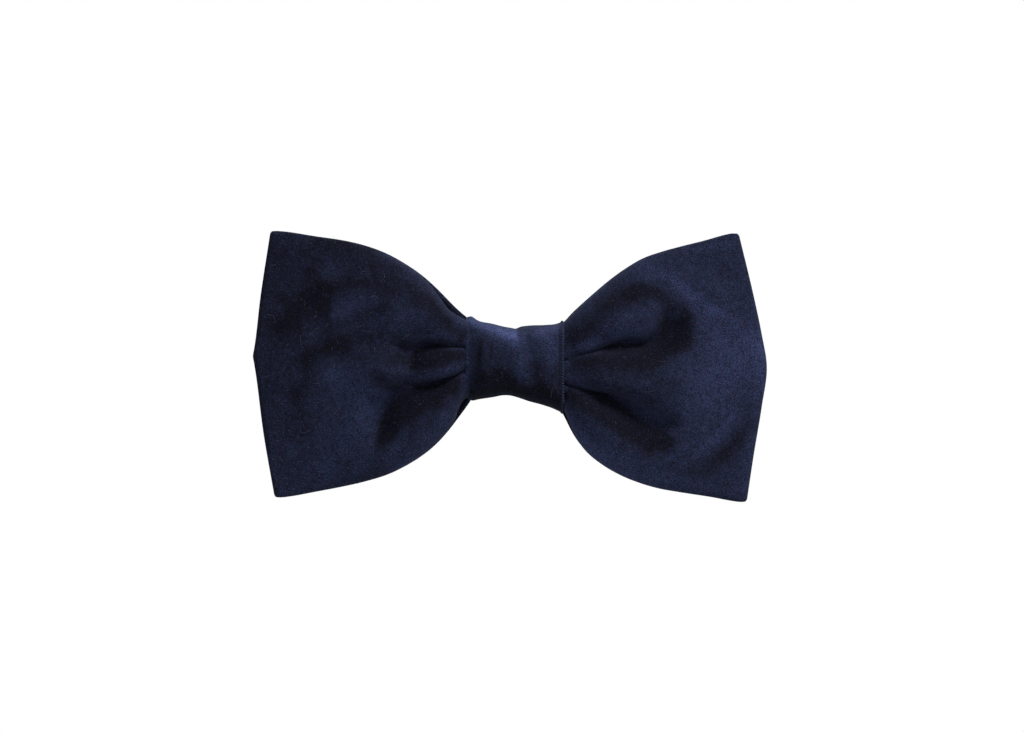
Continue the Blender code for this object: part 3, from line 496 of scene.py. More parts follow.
class Nodes:
    """Short hand for building a material."""

    def __init__(self, name):
        self.material = bpy.data.materials.new(name)
        self.material.use_nodes = True
        self.tree = self.material.node_tree
        self.shader = self.tree.nodes["Principled BSDF"]

    def add(self, kind, **values):
        node = self.tree.nodes.new(kind)
        for key, value in values.items():
            if hasattr(node, key) and key not in node.inputs:
                setattr(node, key, value)
            else:
                node.inputs[key].default_value = value
        return node

    def link(self, a, b):
        self.tree.links.new(a, b)

    def coords(self):
        return self.add("ShaderNodeTexCoord").outputs["Object"]

    def noise(self, scale, detail=3.0, rough=0.55, vector=None, distortion=0.0):
        n = self.add("ShaderNodeTexNoise", Scale=scale, Detail=detail, Roughness=rough, Distortion=distortion)
        self.link(vector or self.coords(), n.inputs["Vector"])
        return n.outputs["Fac"]

    def ramp(self, fac, stops):
        r = self.add("ShaderNodeValToRGB")
        el = r.color_ramp.elements
        while len(el) < len(stops):
            el.new(0.5)
        for e, (pos, col) in zip(el, stops):
            e.position = pos
            e.color = (*col, 1.0) if len(col) == 3 else (col[0],) * 3 + (1.0,)
        self.link(fac, r.inputs["Fac"])
        return r.outputs["Color"]

    def mix(self, fac, a, b, kind="MIX"):
        m = self.tree.nodes.new("ShaderNodeMix")
        m.data_type = "RGBA"
        m.blend_type = kind
        for value, socket in ((fac, m.inputs[0]), (a, m.inputs[6]), (b, m.inputs[7])):
            if isinstance(value, (int, float)):
                socket.default_value = value
            elif isinstance(value, tuple):
                socket.default_value = (*value, 1.0)
            else:
                self.link(value, socket)
        return m.outputs[2]

    def math(self, op, a, b=0.0, clamp=False):
        m = self.tree.nodes.new("ShaderNodeMath")
        m.operation = op
        m.use_clamp = clamp
        for value, socket in ((a, m.inputs[0]), (b, m.inputs[1])):
            if isinstance(value, (int, float)):
                socket.default_value = value
            else:
                self.link(value, socket)
        return m.outputs[0]

    def grey(self, value):
        c = self.add("ShaderNodeCombineColor")
        for socket in c.inputs:
            self.link(value, socket)
        return c.outputs["Color"]

    def moved(self, vector, by):
        n = self.add("ShaderNodeMapping", vector_type="POINT")
        n.inputs["Location"].default_value = (by, by * 1.7, -by)
        self.link(vector, n.inputs["Vector"])
        return n.outputs["Vector"]

    def bump(self, height, strength, distance, normal=None):
        b = self.add("ShaderNodeBump", Strength=strength, Distance=distance)
        self.link(height, b.inputs["Height"])
        if normal:
            self.link(normal, b.inputs["Normal"])
        return b.outputs["Normal"]

    def set(self, **values):
        for key, value in values.items():
            socket = self.shader.inputs[key.replace("_", " ")]
            if isinstance(value, (int, float)):
                socket.default_value = value
            elif isinstance(value, tuple):
                socket.default_value = (*value, 1.0) if len(value) == 3 else value
            else:
                self.link(value, socket)


def velvet_material(name, dark, light, sheen, tint):
    """Short-pile velvet: nearly black down the pile, navy at its tips, brushed patches with painted shade and painted
    highlights from the strokes, a soft grazing sheen.
    """
    m = Nodes(name)
    co = m.coords()
    nap_and_shade = m.add("ShaderNodeAttribute", attribute_name="nap_and_shade").outputs["Fac"]
    pile = m.noise(3600.0, 1.0, 0.5, co)
    tuft = m.noise(820.0, 2.0, 0.5, co)
    brushed = m.noise(230.0, 3.0, 0.55, co, 0.8)
    wide = m.noise(60.0, 2.0, 0.5, co, 0.3)
    shade = m.math("ADD", nap_and_shade, m.math("MULTIPLY", m.math("SUBTRACT", brushed, 0.5), 0.55))
    shade = m.math("ADD", shade, m.math("MULTIPLY", m.math("SUBTRACT", wide, 0.5), 0.30))
    colour = m.mix(m.math("MULTIPLY", shade, 1.0, True), dark, light)
    # past its full colour the shade goes paler still: this carries painted highlights on the knot's top rim, the lower
    # lobes and the lit ridges
    colour = m.mix(1.0, colour, m.grey(m.math("ADD", 1.0, m.math("MAXIMUM", m.math("SUBTRACT", shade, 1.0), 0.0))), "MULTIPLY")
    # single tufts: some lie open and pale, some close and dark, a few lean to red or to green
    grain = m.math("MULTIPLY", m.math("SUBTRACT", pile, 0.5), 3.5)
    grain = m.math("ADD", grain, m.math("MULTIPLY", m.math("SUBTRACT", tuft, 0.5), 0.9))
    grain = m.math("MAXIMUM", m.math("ADD", grain, 1.0), 0.12)
    colour = m.mix(1.0, colour, m.grey(grain), "MULTIPLY")
    # painted shade: where the strokes run below zero, mostly in the hollows, the creases and under the lips, the colour
    # is dimmed further, and the sheen and specular with it
    painted_shade_dim = m.math("MAXIMUM", m.math("ADD", 1.0, m.math("MULTIPLY", m.math("MINIMUM", nap_and_shade, 0.0), 0.6)), 0.4)
    colour = m.mix(1.0, colour, m.grey(painted_shade_dim), "MULTIPLY")
    # where the pile lies dark, odd tufts still catch the light
    odd = m.math("MULTIPLY", m.math("SUBTRACT", m.noise(2300.0, 1.0, 0.5, m.moved(co, 5.3)), 0.56), 2.4, True)
    colour = m.mix(odd, colour, tuple(0.75 * c for c in light), "ADD")
    red = m.noise(1500.0, 2.0, 0.6, m.moved(co, 3.1))
    green = m.noise(1150.0, 2.0, 0.6, m.moved(co, 7.7))
    colour = m.mix(m.math("MULTIPLY", m.math("SUBTRACT", red, 0.52), 5.0, True), colour, m.mix(1.0, colour, (1.50, 0.92, 1.0), "MULTIPLY"))
    colour = m.mix(m.math("MULTIPLY", m.math("SUBTRACT", green, 0.50), 4.5, True), colour, m.mix(1.0, colour, (0.74, 1.12, 1.03), "MULTIPLY"))
    # the painted shade dims the sheen and specular as well as the colour
    m.set(Base_Color=colour, Roughness=0.95, Sheen_Weight=m.math("MULTIPLY", painted_shade_dim, sheen), Sheen_Roughness=0.42, Sheen_Tint=tint, Specular_IOR_Level=m.math("MULTIPLY", painted_shade_dim, 0.10))
    normal = m.bump(pile, 0.8, 0.00022)
    normal = m.bump(brushed, 0.35, 0.0007, normal)
    m.set(Normal=normal)
    return m.material


def thread_material():
    m = Nodes("navy_thread")
    co = m.coords()
    fibre = m.noise(3200.0, 4.0, 0.7, co)
    colour = m.mix(fibre, (0.0035, 0.0045, 0.011), (0.020, 0.026, 0.064))
    m.set(Base_Color=colour, Roughness=0.62, Sheen_Weight=0.10, Sheen_Roughness=0.45, Sheen_Tint=(0.55, 0.62, 1.0), Specular_IOR_Level=0.20)
    m.set(Normal=m.bump(m.noise(2600.0, 3.0, 0.6, co), 0.4, 0.00008))
    return m.material


def steel_material(name, base, rough, brushed):
    """Nickel-plated spring steel: faint rolling lines, handling haze and worn brighter spots."""
    m = Nodes(name)
    co = m.coords()
    stretch = m.add("ShaderNodeMapping", vector_type="POINT")
    stretch.inputs["Scale"].default_value = (0.06, 1.0, 1.0)
    m.link(co, stretch.inputs["Vector"])
    lines = m.noise(9000.0, 3.0, 0.6, stretch.outputs["Vector"])
    haze = m.noise(260.0, 4.0, 0.6, co)
    spots = m.noise(1400.0, 2.0, 0.5, co)
    colour = m.mix(haze, tuple(c * 0.80 for c in base), tuple(min(1.0, c * 1.10) for c in base))
    colour = m.mix(m.math("MULTIPLY", m.math("SUBTRACT", spots, 0.62, True), 1.6, True), colour, tuple(c * 0.55 for c in base))
    rough_value = m.math("ADD", m.math("MULTIPLY", haze, 0.16), rough - 0.08)
    rough_value = m.math("ADD", rough_value, m.math("MULTIPLY", lines, brushed))
    m.set(Base_Color=colour, Metallic=1.0, Roughness=rough_value)
    m.set(Normal=m.bump(lines, 0.12, 0.00002))
    return m.material


def plain_cloth_material(name, dark, light, scale):
    m = Nodes(name)
    co = m.coords()
    fibre = m.noise(scale, 4.0, 0.7, co)
    m.set(Base_Color=m.mix(fibre, dark, light), Roughness=0.95, Sheen_Weight=0.3, Sheen_Roughness=0.5)
    m.set(Normal=m.bump(fibre, 0.6, 0.0002))
    return m.material


VELVET = velvet_material("navy_velvet", (0.0023, 0.0026, 0.0066), (0.0188, 0.0245, 0.0615), 0.06, (0.50, 0.60, 1.0))
KNOT_VELVET = velvet_material("knot_velvet", (0.0023, 0.0026, 0.0066), (0.0188, 0.0247, 0.0620), 0.08, (0.50, 0.60, 1.0))
THREAD = thread_material()
LINT = plain_cloth_material("lint", (0.022, 0.026, 0.042), (0.090, 0.095, 0.125), 1500.0)
NICKEL = steel_material("nickel_steel", (0.66, 0.65, 0.62), 0.26, 0.10)
SPRING = steel_material("spring_steel", (0.42, 0.42, 0.43), 0.34, 0.12)
LINER = plain_cloth_material("interlining", (0.50, 0.48, 0.43), (0.68, 0.66, 0.60), 2400.0)
WADDING = plain_cloth_material("wadding", (0.58, 0.57, 0.54), (0.76, 0.75, 0.72), 1200.0)


# ------------------------------------------------------------------------------------------------
# the bow

NAP_AND_SHADE = [  # strokes of brushed pile, painted shade and painted highlights: rows of (x, z, width below, width above, shade)
    # left spot
    [(-52.9, 8, 1.5, 1.5, -0.16), (-52.6, 4.6, 1.2, 1.2, -0.04)],
    # left shade
    [(-48.5, 22.4, 2.2, 2.2, -0.14), (-46.8, 14.9, 2.7, 2.7, -0.32), (-45.3, 7.1, 2.9, 2.9, -0.24), (-41.9, 3.4, 2.2, 2.2, -0.12)],
    # soft shade
    [(-45.1, 11.2, 1.9, 1.9, -0.1), (-39.2, 9.3, 1.9, 1.9, -0.06), (-34.8, 12.7, 2.2, 2.2, -0.22), (-31.2, 13.9, 2.2, 2.2, -0.22)],
    # left of the knot: painted shade where the wing goes in under the knot
    [(-12.9, 7.6, 1, 1.2, -0.24), (-13.4, 5.4, 0.7, 1, -0.16)],
    # left field: painted shade, the far left of the wing darker, away from the light
    [(-59, 26.6, 7.8, 7.8, -0.16), (-57.7, 13.2, 8.8, 8.8, -0.2), (-58.2, -0.2, 7.3, 7.3, -0.18), (-57, -13.6, 6.3, 6.3, -0.16), (-55.8, -25.8, 5.4, 5.4, -0.06)],
    # end spots
    [(-60.7, 25.3, 1.5, 1.9, 0.26), (-60.7, 26.3, 1.2, 1.5, 0)],
    # end spots low
    [(-60.7, -22.9, 1.9, 1.9, 0.26), (-60.4, -26.3, 1.7, 1.7, 0.38)],
    # left end: painted shade along the rim of the folded end
    [(-62.9, 30.2, 1.7, 1.7, -0.12), (-64.1, 15.6, 1.7, 1.7, -0.28), (-65.3, 2.2, 1.7, 1.7, -0.3), (-63.8, -13.6, 1.7, 1.7, -0.12), (-61.9, -30.7, 1.9, 1.9, 0)],
    # top band dark
    [(-55.3, 29, 5.8, 3.4, -0.16), (-40.7, 27.8, 4.9, 3.4, -0.34), (-32.2, 23.4, 3.4, 3.4, -0.27), (-27.3, 20.5, 2.9, 2.9, -0.2)],
    # inside the upper edge: painted shade just inside the lit top edge
    [(-38.3, 22.4, 3.9, 2.9, -0.12), (-30.9, 19.5, 3.9, 2.4, -0.22), (-25.6, 17.3, 3.9, 2.2, -0.34), (-20.7, 13.9, 3.7, 1.7, -0.42), (-17.1, 9.7, 3.2, 1.5, -0.42), (-14.4, 6.6, 2.2, 1.5, -0.34)],
    # upper edge: painted highlight along the top rim
    [(-32.2, 25.8, 0.7, 1, 0.1), (-26.1, 22.9, 0.7, 1, 0.2), (-21.7, 19.5, 0.6, 0.7, 0.3), (-18.8, 16.3, 0.5, 1, 0.5), (-16.8, 13.6, 0.5, 1, 0.5), (-13.2, 11.5, 0.5, 1, 0.4)],
    # upper hollow: painted shade in the hollow
    [(-13.9, 2.7, 0.7, 0.5, -0.2), (-16.3, 2.4, 1.7, 1, -0.4), (-19.2, 2.4, 2.9, 1.5, -0.58), (-21.9, 1.9, 3.7, 1.7, -0.68), (-24.4, 1, 3.4, 1.2, -0.7), (-25.6, -0.7, 2.7, 1, -0.64), (-26.3, -2.9, 1.2, 1.2, -0.1)],
    # lower valley: painted shadow under the lip and in the valley
    [(-13.9, -3.2, 0.7, 0.7, -0.3), (-15.8, -5.4, 2.4, 1.2, -0.56), (-18.5, -6.6, 3.4, 1.9, -0.68), (-21.7, -7.6, 3.7, 2.4, -0.68), (-24.9, -8.8, 4.1, 2.9, -0.72), (-27.5, -10.7, 4.1, 3.2, -0.76), (-29.5, -13.4, 3.2, 2.9, -0.82), (-30.9, -16.1, 2.7, 2.7, -0.8), (-32.2, -18.5, 2.2, 2.2, -0.64), (-32.7, -20.7, 1.5, 1.7, -0.3), (-32.4, -22.4, 1.2, 1.2, 0)],
    # ridge: painted highlight on the ridge between the hollows
    [(-13.4, -0.2, 0.7, 0.7, 0.12), (-17.1, -1.7, 0.7, 1.2, 0.32), (-20.7, -2.4, 0.7, 1.5, 0.42), (-24.4, -2.9, 1, 1.5, 0.42), (-28, -2.2, 1, 1.2, 0.06), (-30.9, 0, 1.2, 1.2, 0)],
    # ridge shade
    [(-33.9, 2.9, 1.9, 1.9, -0.12), (-30.5, 1, 1.9, 1.9, -0.22), (-27.3, 1.2, 1.5, 1.7, -0.34)],
    # above the upper lip: painted highlight on the lip
    [(-24.1, 6.8, 1, 1.2, 0.14), (-21.2, 7.3, 1, 1.5, 0.26), (-18.3, 7.1, 1, 1.5, 0.28), (-15.6, 6.3, 0.7, 1.2, 0.2)],
    # leaning patch
    [(-37.8, 1.5, 1.7, 1.2, -0.14), (-35.6, -0.2, 1.9, 1.5, -0.15), (-33.4, -2.2, 1.9, 1.5, -0.18), (-31.2, -4.1, 1.7, 1.2, -0.22), (-29.5, -5.4, 1.2, 0.7, -0.2)],
    # pale middle
    [(-47.5, -1.7, 2.9, 2.9, 0.1), (-42.4, -3.4, 3.4, 3.4, 0.4), (-38.7, -6.8, 3.4, 3.4, 0.36), (-40.2, -12.4, 3.9, 3.9, 0.18), (-41.9, -18.5, 2.9, 2.9, 0.08)],
    # beside the valley
    [(-34.8, -5.1, 1.9, 1.9, 0.4), (-32.4, -7.3, 1.7, 1.2, 0.34), (-34.8, -11.2, 1.9, 1.9, 0.26), (-36.8, -16.1, 2.2, 2.2, 0.1), (-36.3, -21.4, 2.2, 2.2, 0.06)],
    # pale streak
    [(-48.5, 8, 1.2, 1.2, 0.14), (-43.9, 11.9, 1.5, 1.5, 0.26), (-40.2, 13.6, 1.7, 1.9, 0.26), (-34.6, 15.6, 1.2, 1.2, 0.06)],
    # brushed band
    [(-60.7, 8.3, 2.2, 2.2, -0.1), (-55.3, 10.7, 3.2, 2.7, -0.32), (-51.4, 14.6, 3.2, 2.7, -0.31), (-47.5, 17.5, 2.7, 2.2, -0.4), (-40.7, 19.2, 2.2, 2.2, -0.28), (-35.3, 19, 2.2, 1.7, -0.22), (-30.5, 17.5, 1.9, 1.7, -0.1)],
    # brushed corner
    [(-56.8, 25.8, 1.7, 1.7, -0.1), (-52.9, 22.9, 1.9, 1.9, -0.16), (-49.7, 22.4, 1.9, 1.9, -0.24), (-47.5, 22.9, 1.5, 1.5, 0)],
    # dark centre
    [(-50.9, 1.5, 2.2, 2.2, -0.2), (-46.1, 3.4, 2.2, 2.2, -0.28), (-40.7, 4.9, 2.4, 2.2, -0.3), (-35.3, 6.3, 2.2, 1.9, -0.24), (-30.5, 6.3, 2.2, 2.2, -0.2), (-27.5, 4.6, 1.5, 1.9, -0.2)],
    # dark left middle
    [(-49.7, -0.5, 1.7, 1.7, -0.24), (-51.7, -6.3, 2.2, 2.2, -0.2), (-52.9, -11.2, 2.2, 2.2, -0.2), (-50.9, -14.9, 1.9, 1.9, -0.1)],
    # inner lobe
    [(-26.6, -15.6, 1.5, 1.5, 0.1), (-28, -18.5, 1.9, 1.9, 0.2), (-30.5, -22.4, 1.9, 1.9, 0.2)],
    # lower lobe: painted highlight on the lower lobe
    [(-15.8, -8, 1, 1.2, 0.1), (-17.1, -11.7, 1.2, 1.5, 0.22), (-19.2, -16.1, 1.7, 1.9, 0.27), (-22.4, -20, 1.9, 2.2, 0.34), (-26.6, -22.9, 1.9, 2.2, 0.26), (-30.9, -25.3, 1.7, 1.9, 0.16)],
    # bottom middle
    [(-47.5, -16.1, 1.7, 2.2, 0.06), (-45.6, -22.2, 1.7, 2.2, 0.14), (-46.1, -27.8, 1.9, 2.2, 0.12)],
    # beside the knot: painted shade next to the knot
    [(13.2, 5.6, 1.5, 2.2, -0.4), (14.9, 8, 1.7, 1.9, -0.3), (16.3, 10.2, 1.2, 1.2, -0.14)],
    # upper band: painted shade just inside the lit top edge
    [(17.3, 8.3, 2.4, 1.7, -0.26), (20.7, 12.2, 3.2, 2.2, -0.38), (24.6, 14.9, 3.4, 2.7, -0.43), (29.5, 17.5, 3.2, 2.4, -0.5), (33.6, 17.1, 2.4, 1.5, -0.4), (36.3, 15.1, 1.9, 1.2, -0.3), (38.3, 13.2, 1.5, 1.5, -0.1)],
    # inside the lobe: painted shade where the upper hollow ends
    [(25.1, 9.5, 1.9, 1.9, -0.02), (30, 8, 1.7, 1.7, -0.02), (33.9, 8.3, 1.5, 1.5, -0.16), (34.8, 10.2, 1.5, 1.5, -0.26), (35.3, 12.9, 1.5, 1.5, -0.24), (34.8, 14.6, 1.2, 1.2, 0)],
    # upper edge: painted highlight along the top rim, painted shade where it starts at the knot
    [(12.2, 10.5, 0.7, 0.7, -0.3), (17.8, 15.6, 0.7, 0.7, 0.25), (23.9, 21, 0.7, 0.7, 0.22), (30, 24.9, 0.7, 0.7, 0.12)],
    # slot: painted shade in the upper hollow
    [(19.7, 2.9, 0.5, 0.4, -0.24), (22.7, 3.4, 1, 1, -0.44), (25.6, 3.5, 1.2, 1, -0.52), (28.8, 3.7, 1.2, 1, -0.5), (31.9, 4.6, 1.9, 1, -0.5), (34.6, 5.8, 3.2, 1.7, -0.64), (36.8, 7.1, 3.4, 2.4, -0.7), (40.2, 9.3, 3.2, 2.7, -0.64), (41.2, 12.2, 2.4, 2.4, -0.42), (39.7, 14.6, 1.5, 1.5, 0)],
    # below the slot: painted shadow cast by the lip above
    [(13.4, 0.7, 1, 0.7, -0.2), (18.3, 0.7, 2.4, 1.7, -0.42), (23.4, 0.7, 3.2, 2.2, -0.5), (28.5, 1, 3.2, 2.2, -0.56), (32.9, 1.7, 2.9, 1.9, -0.56), (36.8, 3.4, 2.4, 1.9, -0.5), (40.2, 5.4, 2.2, 2.2, -0.4), (42.4, 7.6, 1.5, 1.7, -0.1)],
    # above the slot: painted highlight on the lip
    [(23.6, 7.3, 1, 1.2, 0.24), (27, 7.8, 1, 1.5, 0.24), (30.5, 7.6, 1, 1.5, 0.2), (32.9, 8.8, 1, 1.2, 0.1)],
    # upper lobe
    [(23.1, 10.2, 1.2, 1.2, 0.04), (27.5, 11.9, 1.5, 1.5, 0.14), (30.9, 12.7, 1.2, 1.2, 0.1)],
    # under the upper edge: painted shade by the knot
    [(12.9, 2.9, 0.7, 1, -0.16), (17.3, 7.6, 1.2, 1.2, -0.1)],
    # lobe spot
    [(16.1, -13.6, 1.2, 1.5, 0.12), (16.8, -15.8, 1.5, 1.5, 0.16)],
    # right tip: painted highlight on the end
    [(60.7, 0.5, 1, 1.2, 0.1), (60.9, -3.4, 1, 1.5, 0.3), (60.4, -7.6, 1, 1.2, 0.1)],
    # lip: painted highlight along the lip over the slot
    [(12.4, 2.9, 0.5, 1, 0.2), (16.6, 4.1, 0.6, 1, 0.25), (20.2, 5.4, 0.7, 1, 0.22), (25.1, 7.1, 1, 1.2, 0.26), (31.2, 7.8, 1.2, 1.5, 0.24)],
    # lower crease: painted shadow under the lip and in the crease
    [(13.9, -5.6, 0.4, 0.2, -0.2), (16.8, -7.1, 1.2, 0.7, -0.4), (19.7, -8.5, 2.7, 1.5, -0.62), (22.7, -10.5, 3.2, 1.7, -0.58), (25.6, -12.7, 3.2, 1.7, -0.62), (28.5, -15.1, 3.2, 1.9, -0.68), (31.4, -17.1, 2.9, 1.9, -0.76), (34.4, -18.5, 2.4, 2.2, -0.8), (36.5, -19, 1.9, 1.9, -0.64), (38.7, -18.5, 1.2, 1.5, -0.05)],
    # shade of the lower lobe
    [(12.4, -7.1, 1.5, 1.2, -0.24), (15.4, -9.3, 1.9, 1.7, -0.3), (19, -11.9, 1.9, 1.7, -0.28), (22.7, -14.6, 1.7, 1.5, -0.26), (27, -17.8, 1.5, 1.5, -0.2), (31.2, -20.7, 1.5, 1.5, -0.2)],
    # under the knot: painted shade
    [(11.9, -8.3, 1, 1.5, -0.2), (13.4, -6.8, 1.2, 1, -0.2), (15.4, -7.8, 1.2, 1, -0.2)],
    # lower lobe: painted highlight on the lower lobe
    [(12.4, -9.7, 0.7, 1, 0.36), (14.4, -14.6, 1.5, 1.5, 0.66), (18.3, -20, 2.2, 2.2, 0.86), (22.9, -22.9, 2.4, 2.4, 0.78), (30, -26.8, 2.4, 2.4, 0.56), (37.3, -28.8, 1.7, 1.9, 0.4), (43.4, -30.5, 1.5, 1.7, 0.2)],
    # right of between
    [(30, -1, 1.9, 1.9, -0.1), (32.4, -3.9, 1.9, 1.9, -0.1)],
    # top corner
    [(44.6, 28.3, 1.2, 1.2, 0.1), (50.7, 29.2, 1.2, 1.2, 0.18), (53.8, 30.2, 1.2, 1.2, 0.1)],
    # between
    [(13.9, -0.5, 1.2, 1.2, -0.1), (17.8, -1.9, 1.5, 1.5, -0.16), (22.7, -3.4, 1.5, 1.5, -0.12)],
    # end of the left lines: painted shade where the pleats run into the knot
    [(-16.3, 1, 1.2, 1.2, -0.18), (-13.4, 1.7, 1.5, 1.2, -0.32)],
    # middle
    [(13.4, -3.9, 0.7, 1, 0.1), (18.3, -5.4, 0.7, 1, 0.1), (23.1, -5.8, 1.2, 1.5, 0.06), (28, -9.3, 1.5, 1.5, 0.14), (31.9, -11.2, 1.5, 1.5, 0.18), (35.1, -12.4, 1.5, 1.5, 0.18)],
    # middle shade
    [(34.8, -3.9, 2.9, 2.9, -0.1), (36.8, -7.6, 2.4, 2.4, -0.1), (37.8, -11.2, 2.2, 2.2, -0.06)],
    # diagonal ridge: painted highlight along the ridge
    [(30, 23.4, 1, 1, 0.12), (34.4, 21.7, 1.2, 1.2, 0.2), (38.5, 19.5, 1.7, 1.5, 0.5), (42.2, 17.1, 2.2, 1.5, 0.66), (46.5, 14.1, 2.2, 1.5, 0.54), (51.9, 10.5, 1.9, 1.5, 0.34), (56.8, 7.1, 1.5, 1.5, 0.08)],
    # below the ridge
    [(42.2, 14.1, 1.5, 1.7, 0.22), (45.1, 10.2, 2.2, 2.2, 0.26), (48.2, 5.8, 2.9, 2.9, 0.2)],
    # pale end: painted highlight where the wing's end turns towards the light
    [(42.2, -10, 4.9, 4.9, 0.2), (47.5, -5.1, 6.3, 5.8, 0.38), (53.1, -0.2, 6.3, 6.3, 0.42), (58, 3.4, 4.9, 5.4, 0.4)],
    # end edge: painted highlight along the end fold
    [(57.3, 10.7, 1.2, 1.2, 0.1), (58.5, 4.6, 1.5, 1.9, 0.24), (59.2, -2.7, 1.5, 1.9, 0.3), (58.2, -10, 1.5, 1.5, 0.2), (56.8, -16.1, 1.2, 1.2, 0.16), (55.8, -23.4, 1.2, 1.2, 0.2), (55.3, -28.3, 1.2, 1.2, 0.2)],
    # stripe
    [(40.4, -23.9, 1, 1, 0.16), (44.6, -20.5, 1, 1, 0.28), (49.5, -16.1, 1.2, 1, 0.36), (53.1, -11.2, 1.2, 1, 0.26)],
    # second stripe
    [(36.3, -22.9, 1, 1, 0.14), (40.9, -19.7, 0.7, 0.7, 0.18), (46.3, -14.4, 0.7, 0.7, 0.1), (50.2, -10, 0.7, 0.7, 0)],
    # dark corner
    [(39.2, -28.3, 1.2, 1.2, -0.04), (44.6, -25.1, 2.2, 1.5, -0.2), (50, -21.7, 2.7, 1.7, -0.3), (53.8, -17.8, 2.2, 1.5, -0.3), (56.5, -14.1, 1.5, 1.2, -0.16)],
    # lower corner
    [(44.6, -30.5, 1.5, 1.2, 0.1), (51.9, -30.7, 1.5, 1.5, 0.12), (55.8, -30.2, 1.2, 1.2, 0.1)],
]


def nap_and_shade_of(xz):
    value = np.zeros(xz.shape[:-1])
    for row in NAP_AND_SHADE:
        value += stroke(row, xz, 7)
    return value


def ring_values(values, nose_steps=3):
    """Values on a mid surface, copied to the rings that tube() makes round it."""
    ends = [values[:, -1:]] * nose_steps, [values[:, :1]] * nose_steps
    return np.concatenate([values, *ends[0], values[:, ::-1], *ends[1]], 1)


def set_nap_and_shade(obj, values):
    layer = obj.data.attributes.new("nap_and_shade", "FLOAT", "POINT")
    layer.data.foreach_set("value", np.asarray(values, np.float32))


def build_bow():
    sweeps = 150
    left, right = (relax(side, ring_start(side), sweeps) for side in ("left", "right"))
    front_core, back_left, back_right = core(left, right)
    # from the raw end behind the knot, round the right wing, under the knot, and round the left wing
    grid = np.concatenate([back_right[::-1], right[::-1], front_core[::-1], left, back_left])
    outer = tube(grid, HALF)
    cavity = tube(grid, 0.26, 0.975, 2)
    liner = tube(grid[1:-1], 0.12, 0.95, 1)
    points = np.concatenate([outer.reshape(-1, 3), cavity.reshape(-1, 3)])
    faces = [ring_faces(len(outer), outer.shape[1]), ring_faces(len(cavity), cavity.shape[1], outer.shape[0] * outer.shape[1])]
    bow = mesh_object("bow_cloth", points, np.concatenate(faces), VELVET)
    # the raw ends: each joins the tube's outer side to its inner side
    bm = bmesh.new()
    bm.from_mesh(bow.data)
    bm.verts.ensure_lookup_table()
    base = outer.shape[0] * outer.shape[1]
    for end in (0, -1):
        o = [bm.verts[(end % outer.shape[0]) * outer.shape[1] + i] for i in range(outer.shape[1])]
        c = [bm.verts[base + (end % cavity.shape[0]) * cavity.shape[1] + i] for i in range(cavity.shape[1])]
        edges = [bm.edges.get((o[i], o[(i + 1) % len(o)])) for i in range(len(o))]
        edges += [bm.edges.get((c[i], c[(i + 1) % len(c)])) for i in range(len(c))]
        bmesh.ops.bridge_loops(bm, edges=edges)
    bmesh.ops.recalc_face_normals(bm, faces=bm.faces)
    bm.to_mesh(bow.data)
    bm.free()
    bow.data.shade_smooth()
    # the strokes lie on the front and reach the back only faintly
    shade = 0.42 + nap_and_shade_of(grid[..., [0, 2]]) * np.where(grid[..., 1] < Y_MID, 1.0, 0.15)
    # painted shade: the back ply darker near the knot, where it runs in behind it
    shade -= 0.25 * (grid[..., 1] > Y_MID) * smooth(22.0, 15.0, np.abs(grid[..., 0]))
    set_nap_and_shade(bow, np.concatenate([ring_values(shade, 3).ravel(), ring_values(shade, 2).ravel()]))
    subdivide(bow)
    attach(bow, "bow")
    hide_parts("bow_velvet")

    lined = mesh_object("bow_lining", liner.reshape(-1, 3), ring_faces(len(liner), liner.shape[1]), LINER)
    bm = bmesh.new()
    bm.from_mesh(lined.data)
    bmesh.ops.holes_fill(bm, edges=[e for e in bm.edges if e.is_boundary])
    bmesh.ops.recalc_face_normals(bm, faces=bm.faces)
    bm.to_mesh(lined.data)
    bm.free()
    lined.data.shade_smooth()
    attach(lined, "bow")
    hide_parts("bow_interlining")
    return grid, bow


# ------------------------------------------------------------------------------------------------
# the knot

